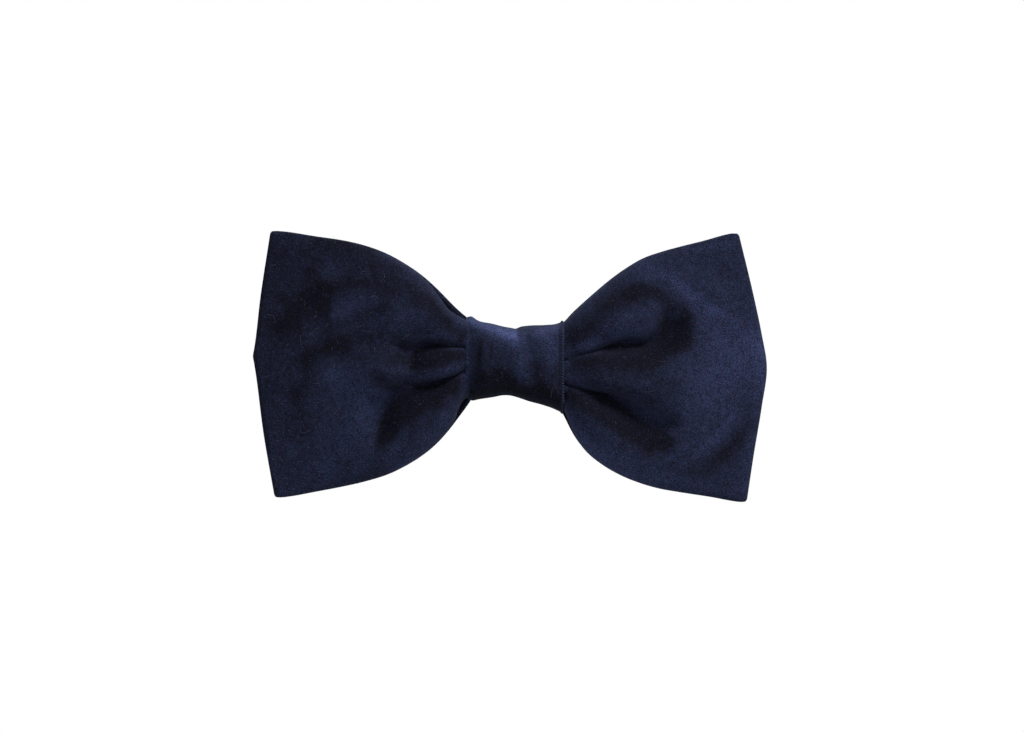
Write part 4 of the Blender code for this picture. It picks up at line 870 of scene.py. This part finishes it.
KNOT_TOP = [(-12.3, 11.4), (-11.2, 11.6), (-9.5, 10.6), (-6.0, 9.8), (-3.0, 9.05), (-1.2, 8.75), (-0.4, 8.6), (0.8, 9.05), (3.0, 9.35), (7.0, 9.5), (9.6, 9.8), (11.4, 10.5)]
KNOT_LOW_LINE = [(-12.3, -8.3), (-11.0, -8.9), (-9.3, -8.6), (-6.0, -8.1), (-3.0, -7.6), (-1.5, -7.7), (0.0, -8.1), (3.0, -9.1), (6.0, -9.9), (8.4, -10.7), (11.4, -12.1)]
KNOT_X0, KNOT_X1 = -12.1, 10.95
KNOT_FRONT, KNOT_BACK = -21.1, -1.4
KNOT_SKIN = 1.0
# strokes on the knot's front: brushed pile, painted shade and painted highlights
KNOT_NAP_AND_SHADE = [
    # lower rim: painted shade along the knot's underside
    [(-12.3, -8.4, 1.7, 1.7, -0.7), (-6.5, -7.4, 1.7, 1.7, -1), (-1.7, -6.7, 1.7, 1.7, -1.05), (3.1, -7.9, 1.7, 1.7, -1), (10.8, -11.1, 1.9, 1.9, -0.54)],
    # upper rim: painted highlight along the knot's top
    [(-11.8, 10.8, 1, 1.4, 0.6), (-6.5, 8.9, 1.2, 1.4, 0.9), (-2.2, 7.7, 1.7, 1.4, 1), (-0.5, 7.2, 1.7, 1.2, 0.8), (0.5, 7.4, 1.4, 1.2, 0.3), (5.5, 8.4, 1.4, 1.2, 0.24), (10.8, 9.6, 1.4, 1.2, 0.26)],
    # top: painted highlight, the top of the knot lighter
    [(-11.8, 10.3, 1.2, 0.7, 0.1), (-8.2, 9.1, 1.7, 0.7, 0.2), (-4.1, 7.7, 1.7, 0.7, 0.3), (-1.4, 6.5, 1.7, 0.7, 0.34), (2.2, 7.2, 1.7, 0.7, 0.14), (6.2, 7.9, 1.4, 0.7, 0.16), (10.3, 8.9, 1.2, 0.7, 0.14)],
    # crease edge: painted highlight on the lit side of the crease
    [(-0.6, 9.6, 1.7, 0.3, 0.3), (-0.4, 7.4, 1.9, 0.3, 0.4), (-0.1, 5.5, 1.7, 0.4, 0.3), (0.2, 3.6, 1.2, 0.7, 0.1)],
    # beside the crease: painted shade on the crease's far side
    [(0.5, 8.6, 0.2, 0.7, -0.14), (0.7, 6.7, 0.2, 0.7, -0.18), (1.2, 4.8, 0.2, 0.7, -0.08)],
    # groove: painted shade in the groove by the stitched edge
    [(10.3, 9.1, 0.3, 0.3, -0.3), (10.3, 3.4, 0.3, 0.3, -0.3), (10.1, -2.6, 0.3, 0.3, -0.24), (9.9, -9.6, 0.3, 0.3, -0.2)],
    # crease: painted highlight down the crease
    [(-1, 6.2, 0.8, 0.8, 0.24), (0.1, 3.4, 1.2, 1.2, 0.24), (0.5, 0.2, 1.2, 1.2, 0.16), (0.7, -3.1, 1, 1, 0.06), (1, -5.5, 0.7, 0.7, 0)],
    # smudge
    [(-8.6, 6, 0.5, 0.5, -0.24), (-8.9, 2.9, 0.7, 0.7, -0.38), (-9.1, 0.2, 0.7, 0.7, -0.34), (-9.2, -2.2, 0.8, 0.8, -0.2)],
    # smudge two
    [(-6, 5.5, 0.4, 0.4, -0.2), (-6.2, 2.6, 0.5, 0.5, -0.3), (-6.7, 0.5, 0.6, 0.6, -0.2)],
    # low left: painted shade, the knot's lower half darker
    [(-11.3, -6.2, 1.2, 1, -0.16), (-8.2, -3.8, 2.2, 2.4, -0.4), (-4.8, -2.9, 2.4, 2.2, -0.42), (-1.9, -3.4, 1.9, 1.7, -0.36), (-1, -5.8, 1.2, 1.2, -0.2)],
    # middle left
    [(-5, 0.5, 1.4, 1.4, -0.12), (-3.1, -0.5, 1.4, 1.4, -0.12)],
    # low right: painted shade, the knot's lower half darker
    [(2.9, -0.5, 1, 1, -0.2), (4.3, 0.2, 1.2, 1.4, -0.3), (5, -2.9, 1.9, 1.9, -0.36), (6.7, -6.2, 2.2, 1.9, -0.42), (9.4, -8.9, 1.4, 1.2, -0.3)],
    # left rim
    [(-12, 7, 0.7, 1, 0.06), (-12, 3.4, 0.7, 1, 0.08), (-12, -0.5, 0.7, 1, 0.16), (-12, -3.8, 0.7, 1, 0.2), (-12.3, -6.2, 0.7, 0.7, 0.1)],
    # beside the stitches
    [(9.1, 0.5, 1, 1, -0.1), (9.1, -2.6, 1.2, 1.2, -0.22), (9.4, -5.8, 1.2, 1.2, -0.2)],
    # right field
    [(6, 6.2, 1.4, 1.7, 0.16), (7.4, 5.3, 1.7, 1.7, 0.18), (7.9, 2.6, 1.7, 1.7, 0.14), (8.4, -0.2, 1.7, 1.7, 0.08)],
]


def knot_point(x, a, inward=0.0):
    """A point of the knot's outside at x and angle a: 0 is the back, a quarter turn the top, a half turn the front."""
    top = cubic(*np.array(KNOT_TOP).T, x) - inward
    low = cubic(*np.array(KNOT_LOW_LINE).T, x) + inward
    back, front = KNOT_BACK - inward, KNOT_FRONT + inward
    # the band bulges least along its edges, where it is drawn in over the wings
    rim = smooth(7.0, 12.0, np.abs(x))
    front = front + 1.5 * rim * np.where(x < 0, 2.12, 1.05)
    c, s = np.cos(a), np.sin(a)
    e = np.where(c < 0, 2.7, 4.0)
    yy = np.sign(c) * np.abs(c) ** (2 / e)
    zz = np.sign(s) * np.abs(s) ** (2 / e)
    y = (back + front) / 2 + (back - front) / 2 * yy
    z = (top + low) / 2 + (top - low) / 2 * zz
    return np.stack(np.broadcast_arrays(x, y, z), -1)


def knot_relief(x, z):
    """How far the band's face stands out: the soft crease down its middle, shallow dents and the hem line."""
    d = np.zeros_like(x)
    line = -0.6 + (8.6 - z) * 0.10
    d += 0.55 * np.exp(-(((x - line) / 2.0) ** 2)) * smooth(-9.5, 2.0, z)
    d -= 0.55 * np.exp(-(((x - line - 2.6) / 1.3) ** 2)) * smooth(-4.0, 7.0, z)
    d -= 0.35 * np.exp(-(((x - 4.6) / 2.6) ** 2 + ((z + 3.0) / 5.0) ** 2))
    d -= 0.30 * np.exp(-(((x + 7.6) / 1.1) ** 2 + ((z - 3.0) / 3.4) ** 2))
    d -= 0.18 * np.exp(-(((x + 5.6) / 0.8) ** 2 + ((z - 2.8) / 2.8) ** 2))
    d -= 0.35 * np.exp(-(((x + 4.0) / 3.6) ** 2 + ((z + 5.0) / 2.6) ** 2))
    d -= 0.30 * np.exp(-(((x - 10.25) / 0.28) ** 2))
    return d


def build_knot():
    nx, nk = 112, 200
    xs = np.linspace(KNOT_X0, KNOT_X1, nx)
    gap = 0.055
    angles = np.linspace(gap, 2 * math.pi - gap, nk)
    xx, aa = np.meshgrid(xs, angles)  # [k, i]
    g = knot_point(xx, aa)
    du, dv = np.gradient(g, axis=0), np.gradient(g, axis=1)
    n = np.cross(dv, du)
    n /= np.linalg.norm(n, axis=-1)[..., None]
    centre = np.array([0.0, (KNOT_FRONT + KNOT_BACK) / 2, 0.0])
    if ((g - centre) * n).sum() < 0:
        n = -n
    facing = smooth(0.1, 0.8, -n[..., 1])
    g = g + n * (knot_relief(g[..., 0], g[..., 2]) * facing)[..., None]
    mid = g - n * KNOT_SKIN / 2
    half = KNOT_SKIN / 2
    rings = [mid + n * half]
    ex = np.array([1.0, 0.0, 0.0])
    for k in range(1, 4):
        a = math.pi * k / 4
        rings.append((mid[:, -1] + n[:, -1] * half * math.cos(a) + ex * half * math.sin(a) * 0.9)[:, None])
    rings.append((mid - n * half)[:, ::-1])
    for k in range(1, 4):
        a = math.pi * k / 4
        rings.append((mid[:, 0] - n[:, 0] * half * math.cos(a) - ex * half * math.sin(a) * 0.9)[:, None])
    rings = np.concatenate(rings, 1)
    knot = mesh_object("knot_cloth", rings.reshape(-1, 3), ring_faces(*rings.shape[:2]), KNOT_VELVET)
    bm = bmesh.new()
    bm.from_mesh(knot.data)
    bmesh.ops.holes_fill(bm, edges=[e for e in bm.edges if e.is_boundary])
    bmesh.ops.recalc_face_normals(bm, faces=bm.faces)
    bm.to_mesh(knot.data)
    bm.free()
    knot.data.shade_smooth()
    p = rings.reshape(-1, 3)
    # the knot's strokes, painted shade and painted highlights among them, on its front only
    shade = 0.42 + sum(stroke(row, p[:, [0, 2]], 7) for row in KNOT_NAP_AND_SHADE) * smooth(-8.0, -14.0, p[:, 1])
    set_nap_and_shade(knot, shade)
    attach(knot, "bow")
    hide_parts("knot_band")
    return knot


def strand(name, runs, radius, material, sides=6):
    """A mesh tube along each run of points, joined into one piece; each run closes on itself if it ends where it began."""
    points, faces = [], []
    for run in runs:
        p = np.asarray(run, float)
        closed = np.linalg.norm(p[0] - p[-1]) < 1e-6
        if closed:
            p = p[:-1]
        t = (np.roll(p, -1, 0) - np.roll(p, 1, 0)) if closed else np.gradient(p, axis=0)
        t /= np.linalg.norm(t, axis=1)[:, None]
        ref = np.array([0.31, 0.87, 0.38])
        n = np.cross(t[0], ref)
        n /= np.linalg.norm(n)
        rows = []
        first = sum(len(q) for q in points)
        for q, d in zip(p, t):
            n = n - d * (n @ d)
            n /= np.linalg.norm(n)
            b = np.cross(d, n)
            a = np.arange(sides) * 2 * math.pi / sides
            rows.append(q + radius * (np.cos(a)[:, None] * n + np.sin(a)[:, None] * b))
        rows = np.array(rows)
        points.append(rows.reshape(-1, 3))
        faces.append(ring_faces(len(rows), sides, first))
        if closed:
            last = first + (len(rows) - 1) * sides
            turn = int(np.argmin(np.linalg.norm(rows[-1] - rows[0][0], axis=1)))
            faces.append(np.array([[last + (turn + i) % sides, last + (turn + i + 1) % sides, first + (i + 1) % sides, first + i] for i in range(sides)]))
        else:
            for row, order in ((first, -1), (first + (len(rows) - 1) * sides, 1)):
                ids = [row + i for i in range(sides)][::order]
                faces.append(np.array([[ids[0], ids[i], ids[i + 1], ids[i + 1]] for i in range(1, sides - 1)]))
    flat = [tuple(dict.fromkeys(f.tolist())) for group in faces for f in group]
    obj = mesh_object(name, np.concatenate(points), flat, material)
    fix_normals(obj)
    return obj


def twisted(path, radius, strands, pitch):
    """The runs of a thread's plies, twisted round each other along a path."""
    p = np.asarray(path, float)
    closed = np.linalg.norm(p[0] - p[-1]) < 1e-6
    s = np.concatenate([[0.0], np.cumsum(np.linalg.norm(np.diff(p, axis=0), axis=1))])
    count = int(s[-1] / (pitch / 9)) + 2
    turns = max(1, round(s[-1] / pitch)) if closed else s[-1] / pitch
    at = np.linspace(0, s[-1], count)
    q = np.stack([np.interp(at, s, p[:, c]) for c in range(3)], -1)
    t = np.gradient(q, axis=0)
    if closed:
        t[0] = t[-1] = t[0] + t[-1]
    t /= np.linalg.norm(t, axis=1)[:, None]
    side = np.array([1.0, 0.0, 0.0])
    if abs(t[:, 0]).mean() > 0.7:
        side = np.array([0.0, 0.0, 1.0])
    n = side - t * (t @ side)[:, None]
    n /= np.linalg.norm(n, axis=1)[:, None]
    b = np.cross(t, n)
    runs = []
    for k in range(strands):
        a = 2 * math.pi * (turns * at / s[-1] + k / strands)
        off = radius * 0.5
        run = q + off * (np.cos(a)[:, None] * n + np.sin(a)[:, None] * b)
        if closed:
            run[-1] = run[0]
        runs.append(run)
    return runs


def whip_stitches():
    """The overcasting along the right edge of the knot: one thread wound round the edge, a turn every 0.70 mm."""
    a = np.linspace(math.pi * 0.30, math.pi * 1.70, 900)
    rim = knot_point(np.full_like(a, KNOT_X1), a, KNOT_SKIN / 2)
    s = np.concatenate([[0.0], np.cumsum(np.linalg.norm(np.diff(rim, axis=0), axis=1))])
    turns = int(s[-1] / 0.70)
    at = np.linspace(0, s[-1], turns * 16)
    q = np.stack([np.interp(at, s, rim[:, c]) for c in range(3)], -1)
    t = np.gradient(q, axis=0)
    t /= np.linalg.norm(t, axis=1)[:, None]
    ex = np.array([1.0, 0.0, 0.0])
    n = np.cross(t, ex)
    n /= np.linalg.norm(n, axis=1)[:, None]
    centre = np.array([0.0, (KNOT_FRONT + KNOT_BACK) / 2, 0.0])
    if ((q - centre) * n).sum() < 0:
        n = -n
    rng = np.random.default_rng(7)
    phase = at / 0.70 * 2 * math.pi
    wobble = np.interp(at, np.linspace(0, s[-1], turns), rng.normal(0, 0.06, turns))
    along_x = 0.27 + wobble * 0.8
    run = q + n * (np.cos(phase) * (KNOT_SKIN / 2 + 0.10))[:, None] + ex * (np.sin(phase) * along_x + 0.03)[:, None]
    run += t * (0.10 * np.sin(phase))[:, None]
    return run


def build_lint():
    """Stray fibres caught in the pile: short fine curls lying on the front, more of them on the left."""
    rng = np.random.default_rng(41)
    du, dv = np.gradient(grid, axis=0), np.gradient(grid, axis=1)
    n = np.cross(dv, du)
    n /= np.linalg.norm(n, axis=-1)[..., None]
    outer = grid + n * HALF
    front = (outer[..., 1] < Y_MID - 1.0) & (np.abs(outer[..., 0]) > 13.5)
    spots = np.argwhere(front)
    area = np.linalg.norm(np.cross(du, dv), axis=-1)[front]
    weight = area * np.where(outer[front][:, 0] < 0, 1.7, 0.8)
    spots = spots[rng.choice(len(spots), 620, p=weight / weight.sum())]
    places = [(outer[i, j], n[i, j]) for i, j in spots]
    for _ in range(34):
        x, a = rng.uniform(-11.0, 9.0), rng.uniform(0.74, 1.2) * math.pi
        p = knot_point(np.array([x]), np.array([a]))[0]
        q = knot_point(np.array([x]), np.array([a + 0.02]))[0]
        t = (q - p) / np.linalg.norm(q - p)
        m = np.cross(t, [1.0, 0.0, 0.0])
        m *= -1.0 if m[1] > 0 else 1.0
        relief = float(knot_relief(p[0], p[2]))
        places.append((p + m * relief, m))
    runs = []
    for place, normal in places:
        t = np.cross(normal, rng.normal(size=3))
        t /= np.linalg.norm(t)
        b = np.cross(normal, t)
        kind = rng.random()
        length = rng.uniform(0.12, 0.4) if kind < 0.55 else rng.uniform(0.4, 1.3) if kind < 0.93 else rng.uniform(1.3, 3.2)
        curl = rng.normal(0.0, 1.0) * 1.4
        a = np.linspace(-0.5, 0.5, 8)
        run = place + np.outer(a * length, t) + np.outer(curl * (a**2 - 0.1) * length * 0.5, b)
        run += np.outer(0.05 + 0.10 * rng.random() * np.cos(a * 3.0), normal)
        runs.append(run)
    lint = strand("stray_lint", runs, 0.014, LINT, 4)
    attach(lint, "bow")


def build_threads():
    stitches = strand("knot_stitches", [whip_stitches()], 0.165, THREAD, 6)
    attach(stitches, "bow")
    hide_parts("knot_edge_thread")
    for side in ("left", "right"):
        low, high = (np.array(c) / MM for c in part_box(f"clip_thread_{side}"))
        x = (low[0] + high[0]) / 2
        r = 0.35
        y0, y1, z0, z1 = low[1] + r, high[1] - r, low[2] + r, high[2] - r
        path = []
        c = 0.5
        for cy, cz, first in ((y1 - c, z1 - c, 0.0), (y0 + c, z1 - c, 0.5), (y0 + c, z0 + c, 1.0), (y1 - c, z0 + c, 1.5)):
            for k in range(6):
                a = math.pi * (first + 0.5 * k / 5)
                path.append((x, cy + c * math.cos(a), cz + c * math.sin(a)))
        path.append(path[0])
        runs = []
        for shift in (-0.17, 0.17):
            moved = np.array(path) + np.array([shift, 0.0, 0.0])
            runs += twisted(moved, 0.16, 3, 1.3)
        piece = strand(f"clip_stitch_{side}", runs, 0.095, THREAD, 6)
        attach(piece, "bow")
        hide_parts(f"clip_thread_{side}")


# ------------------------------------------------------------------------------------------------
# the clip


def finer_copy(node, name, material, bevel, steps=3, angle=28.0):
    """A copy of a CAD node for show: its flat faces made whole and its edges rounded."""
    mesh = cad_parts[node].data.copy()
    mesh.name = name
    mesh.materials.clear()
    mesh.materials.append(material)
    bm = bmesh.new()
    bm.from_mesh(mesh)
    bmesh.ops.remove_doubles(bm, verts=bm.verts, dist=2e-6)
    bmesh.ops.dissolve_limit(bm, angle_limit=math.radians(1.0), verts=bm.verts, edges=bm.edges)
    bmesh.ops.recalc_face_normals(bm, faces=bm.faces)
    bm.to_mesh(mesh)
    bm.free()
    obj = bpy.data.objects.new(name, mesh)
    bpy.context.scene.collection.objects.link(obj)
    round_off = obj.modifiers.new("rounded", "BEVEL")
    round_off.width = bevel * MM
    round_off.segments = steps
    round_off.limit_method = "ANGLE"
    round_off.angle_limit = math.radians(angle)
    round_off.use_clamp_overlap = True
    round_off.harden_normals = False
    bake(obj)
    obj.data.shade_smooth()
    sharp_by_angle(obj, 35.0)
    return obj


def bake(obj):
    """Replaces a mesh by itself with its modifiers done."""
    bpy.context.view_layer.update()
    done = bpy.data.meshes.new_from_object(obj.evaluated_get(bpy.context.evaluated_depsgraph_get()))
    obj.modifiers.clear()
    obj.data = done


def sharp_by_angle(obj, degrees):
    bm = bmesh.new()
    bm.from_mesh(obj.data)
    for e in bm.edges:
        e.smooth = len(e.link_faces) == 2 and e.calc_face_angle(0.0) < math.radians(degrees)
    for f in bm.faces:
        f.smooth = True
    bm.to_mesh(obj.data)
    bm.free()


def turned(profile, x, y, sides=32):
    """Rings of a turned piece about the line (x, y, *), from rows of (radius, z)."""
    a = np.arange(sides) * 2 * math.pi / sides
    return np.array([[(x + r * math.cos(t), y + r * math.sin(t), z) for t in a] for r, z in profile])


def build_pin(side):
    """A riveted pin: a straight shank, one formed head and one peened end with a small centre dimple."""
    low, high = (np.array(c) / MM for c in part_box(f"{side}_hinge_pin"))
    x, y = (low[:2] + high[:2]) / 2
    half, head = high[2], high[0] - x
    shank = 0.80
    up = [(shank, 0.0), (shank, half - 0.55), (head - 0.14, half - 0.55), (head - 0.03, half - 0.50), (head, half - 0.40), (head, half - 0.26), (head - 0.08, half - 0.15), (head - 0.26, half - 0.06), (head - 0.55, half - 0.01), (0.42, half), (0.30, half - 0.05), (0.16, half - 0.10), (0.03, half - 0.11)]
    down = [(r, -z) for r, z in up[:10]] + [(0.03, -half)]
    rings = turned(down[::-1] + up[1:], x, y)
    pin = mesh_object(f"{side}_rivet", rings.reshape(-1, 3), ring_faces(*rings.shape[:2]), NICKEL)
    bm = bmesh.new()
    bm.from_mesh(pin.data)
    bmesh.ops.holes_fill(bm, edges=[e for e in bm.edges if e.is_boundary])
    bmesh.ops.recalc_face_normals(bm, faces=bm.faces)
    bm.to_mesh(pin.data)
    bm.free()
    sharp_by_angle(pin, 50.0)
    return pin


def build_spring(side):
    """A torsion spring: one leg bears on the plate, the other lies under the thumb tab."""
    hinge_x, hinge_y = 9.0, 2.3
    radius, wire, turns = 1.35, 0.25, 4.5
    height = 3.4
    points = [(-3.6, -hinge_y + wire, -height / 2), (-3.0, -hinge_y + wire + 0.02, -height / 2), (-2.4, -1.62, -height / 2)]
    a = -math.pi / 2 + np.linspace(0.0, 2 * math.pi * turns, int(turns * 40))
    z = np.linspace(-height / 2, height / 2, len(a))
    coil = np.stack([radius * np.cos(a), radius * np.sin(a), z], -1)
    path = np.concatenate([points, coil, [(-2.2, 1.6, height / 2), (-3.6, 1.93, height / 2), (-5.0, 2.2, height / 2)]])
    # short runs between the bends, so that the wire stays round through them
    s = np.concatenate([[0.0], np.cumsum(np.linalg.norm(np.diff(path, axis=0), axis=1))])
    at = np.linspace(0.0, s[-1], int(s[-1] / 0.16))
    path = np.stack([np.interp(at, s, path[:, c]) for c in range(3)], -1)
    for _ in range(2):
        path[1:-1] = (path[:-2] + 2 * path[1:-1] + path[2:]) / 4
    if side == "left":
        path = path * np.array([-1.0, 1.0, -1.0])
    path = path + np.array([hinge_x if side == "right" else -hinge_x, hinge_y, 0.0])
    spring = strand(f"{side}_coil_spring", [path], wire * 0.96, SPRING, 12)
    return spring, path


def build_clip():
    plate = finer_copy("clip_plate", "plate_metal", NICKEL, 0.10)
    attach(plate, "bow")
    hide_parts("clip_plate")
    for side in ("left", "right"):
        jaw = finer_copy(f"{side}_jaw", f"{side}_jaw_metal", NICKEL, 0.12)
        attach(jaw, f"{side}_jaw")
        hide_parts(f"{side}_jaw")
        pin = build_pin(side)
        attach(pin, "bow")
        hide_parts(f"{side}_hinge_pin")
        spring, path = build_spring(side)
        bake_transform(spring)
        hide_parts(f"{side}_spring")


def build_pad():
    """The wadding under the knot's face: a small loose pillow, crowned in the middle and pulled in at its corners."""
    low, high = (np.array(c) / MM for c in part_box("knot_pad"))
    middle, half = (low + high) / 2, (high - low) / 2
    n = 14
    u = np.linspace(-1.0, 1.0, n)
    uu, vv = np.meshgrid(u, u, indexing="ij")
    crown = (1 - np.abs(uu) ** 2.6) ** 0.5 * (1 - np.abs(vv) ** 2.6) ** 0.5
    rng = np.random.default_rng(23)
    lumps = rng.normal(0.0, 0.05, (n, n))
    pull = 1.0 - 0.05 * (uu**2 * vv**2)
    front = np.stack([middle[0] + half[0] * uu * pull, middle[1] - half[1] * (crown + lumps * crown), middle[2] + half[2] * vv * pull], -1)
    rear = front.copy()
    rear[..., 1] = middle[1] + half[1] * crown * 0.8
    points = np.concatenate([front.reshape(-1, 3), rear.reshape(-1, 3)])
    ids = np.arange(n * n).reshape(n, n)
    quads = np.stack([ids[:-1, :-1], ids[1:, :-1], ids[1:, 1:], ids[:-1, 1:]], -1).reshape(-1, 4)
    pad = mesh_object("knot_wadding", points, np.concatenate([quads, quads[:, ::-1] + n * n]), WADDING)
    bm = bmesh.new()
    bm.from_mesh(pad.data)
    bmesh.ops.remove_doubles(bm, verts=bm.verts, dist=1e-6)
    bmesh.ops.recalc_face_normals(bm, faces=bm.faces)
    bm.to_mesh(pad.data)
    bm.free()
    pad.data.shade_smooth()
    subdivide(pad)
    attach(pad, "bow")
    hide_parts("knot_pad")


def dress_hidden_nodes():
    for name in ("gather_thread", "bow_end_thread", "knot_seam_thread"):
        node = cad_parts[name]
        node.data.materials.clear()
        node.data.materials.append(THREAD)


# ------------------------------------------------------------------------------------------------
# the room


def look_at(obj, target):
    obj.rotation_euler = (Vector(target) - obj.location).to_track_quat("-Z", "Y").to_euler()


def area_light(name, place, target, size, power, colour=(1, 1, 1)):
    light = bpy.data.lights.new(name, "AREA")
    light.shape = "RECTANGLE"
    light.size, light.size_y = size
    light.energy = power
    light.color = colour
    obj = bpy.data.objects.new(name, light)
    bpy.context.scene.collection.objects.link(obj)
    obj.location = place
    look_at(obj, target)
    return obj


def build_room():
    scene = bpy.context.scene
    camera = bpy.data.cameras.new("camera")
    camera.lens, camera.sensor_width = 100.0, 36.0
    camera.clip_start, camera.clip_end = 0.01, 50.0
    eye = bpy.data.objects.new("camera", camera)
    scene.collection.objects.link(eye)
    eye.location = EYE * MM
    eye.rotation_euler = (math.pi / 2, 0.0, 0.0)
    scene.camera = eye

    # a round floor whose rim thins out into the white room
    floor = Nodes("pale_floor")
    floor.set(Base_Color=(0.82, 0.82, 0.82), Roughness=0.9)
    away = floor.add("ShaderNodeVectorMath", operation="LENGTH")
    floor.link(floor.coords(), away.inputs[0])
    floor.set(Alpha=floor.math("SUBTRACT", 1.0, floor.ramp(floor.math("MULTIPLY", away.outputs["Value"], 1.0), [(0.30, (0.0,)), (0.95, (1.0,))])))
    bpy.ops.mesh.primitive_circle_add(vertices=96, radius=1.0, fill_type="NGON", location=(0.0, 0.0, -0.36))
    ground = bpy.context.object
    ground.name = "floor"
    ground.data.materials.append(floor.material)

    world = bpy.data.worlds.new("studio")
    world.use_nodes = True
    tree = world.node_tree
    back = tree.nodes["Background"]
    back.inputs["Color"].default_value = (1, 1, 1, 1)
    back.inputs["Strength"].default_value = 0.10
    seen = tree.nodes.new("ShaderNodeBackground")
    seen.inputs["Color"].default_value = (1, 1, 1, 1)
    seen.inputs["Strength"].default_value = 1.0
    path = tree.nodes.new("ShaderNodeLightPath")
    mix = tree.nodes.new("ShaderNodeMixShader")
    tree.links.new(path.outputs["Is Camera Ray"], mix.inputs[0])
    tree.links.new(back.outputs[0], mix.inputs[1])
    tree.links.new(seen.outputs[0], mix.inputs[2])
    tree.links.new(mix.outputs[0], tree.nodes["World Output"].inputs["Surface"])
    scene.world = world
    scene.view_settings.view_transform = "Standard"

    middle = (0.0, -0.01, 0.0)
    area_light("key", (0.38, -0.50, 0.85), middle, (0.34, 0.30), 13.6)
    area_light("right", (0.85, -0.45, 0.15), middle, (0.30, 0.50), 2.4)
    area_light("front", (-0.35, -0.95, 0.25), middle, (0.60, 0.50), 2.3)
    area_light("behind", (0.05, 0.50, 0.80), middle, (0.50, 0.35), 4.0)


grid, bow = build_bow()
build_knot()
build_threads()
build_lint()
build_clip()
build_pad()
dress_hidden_nodes()
build_room()

bpy.context.view_layer.update()
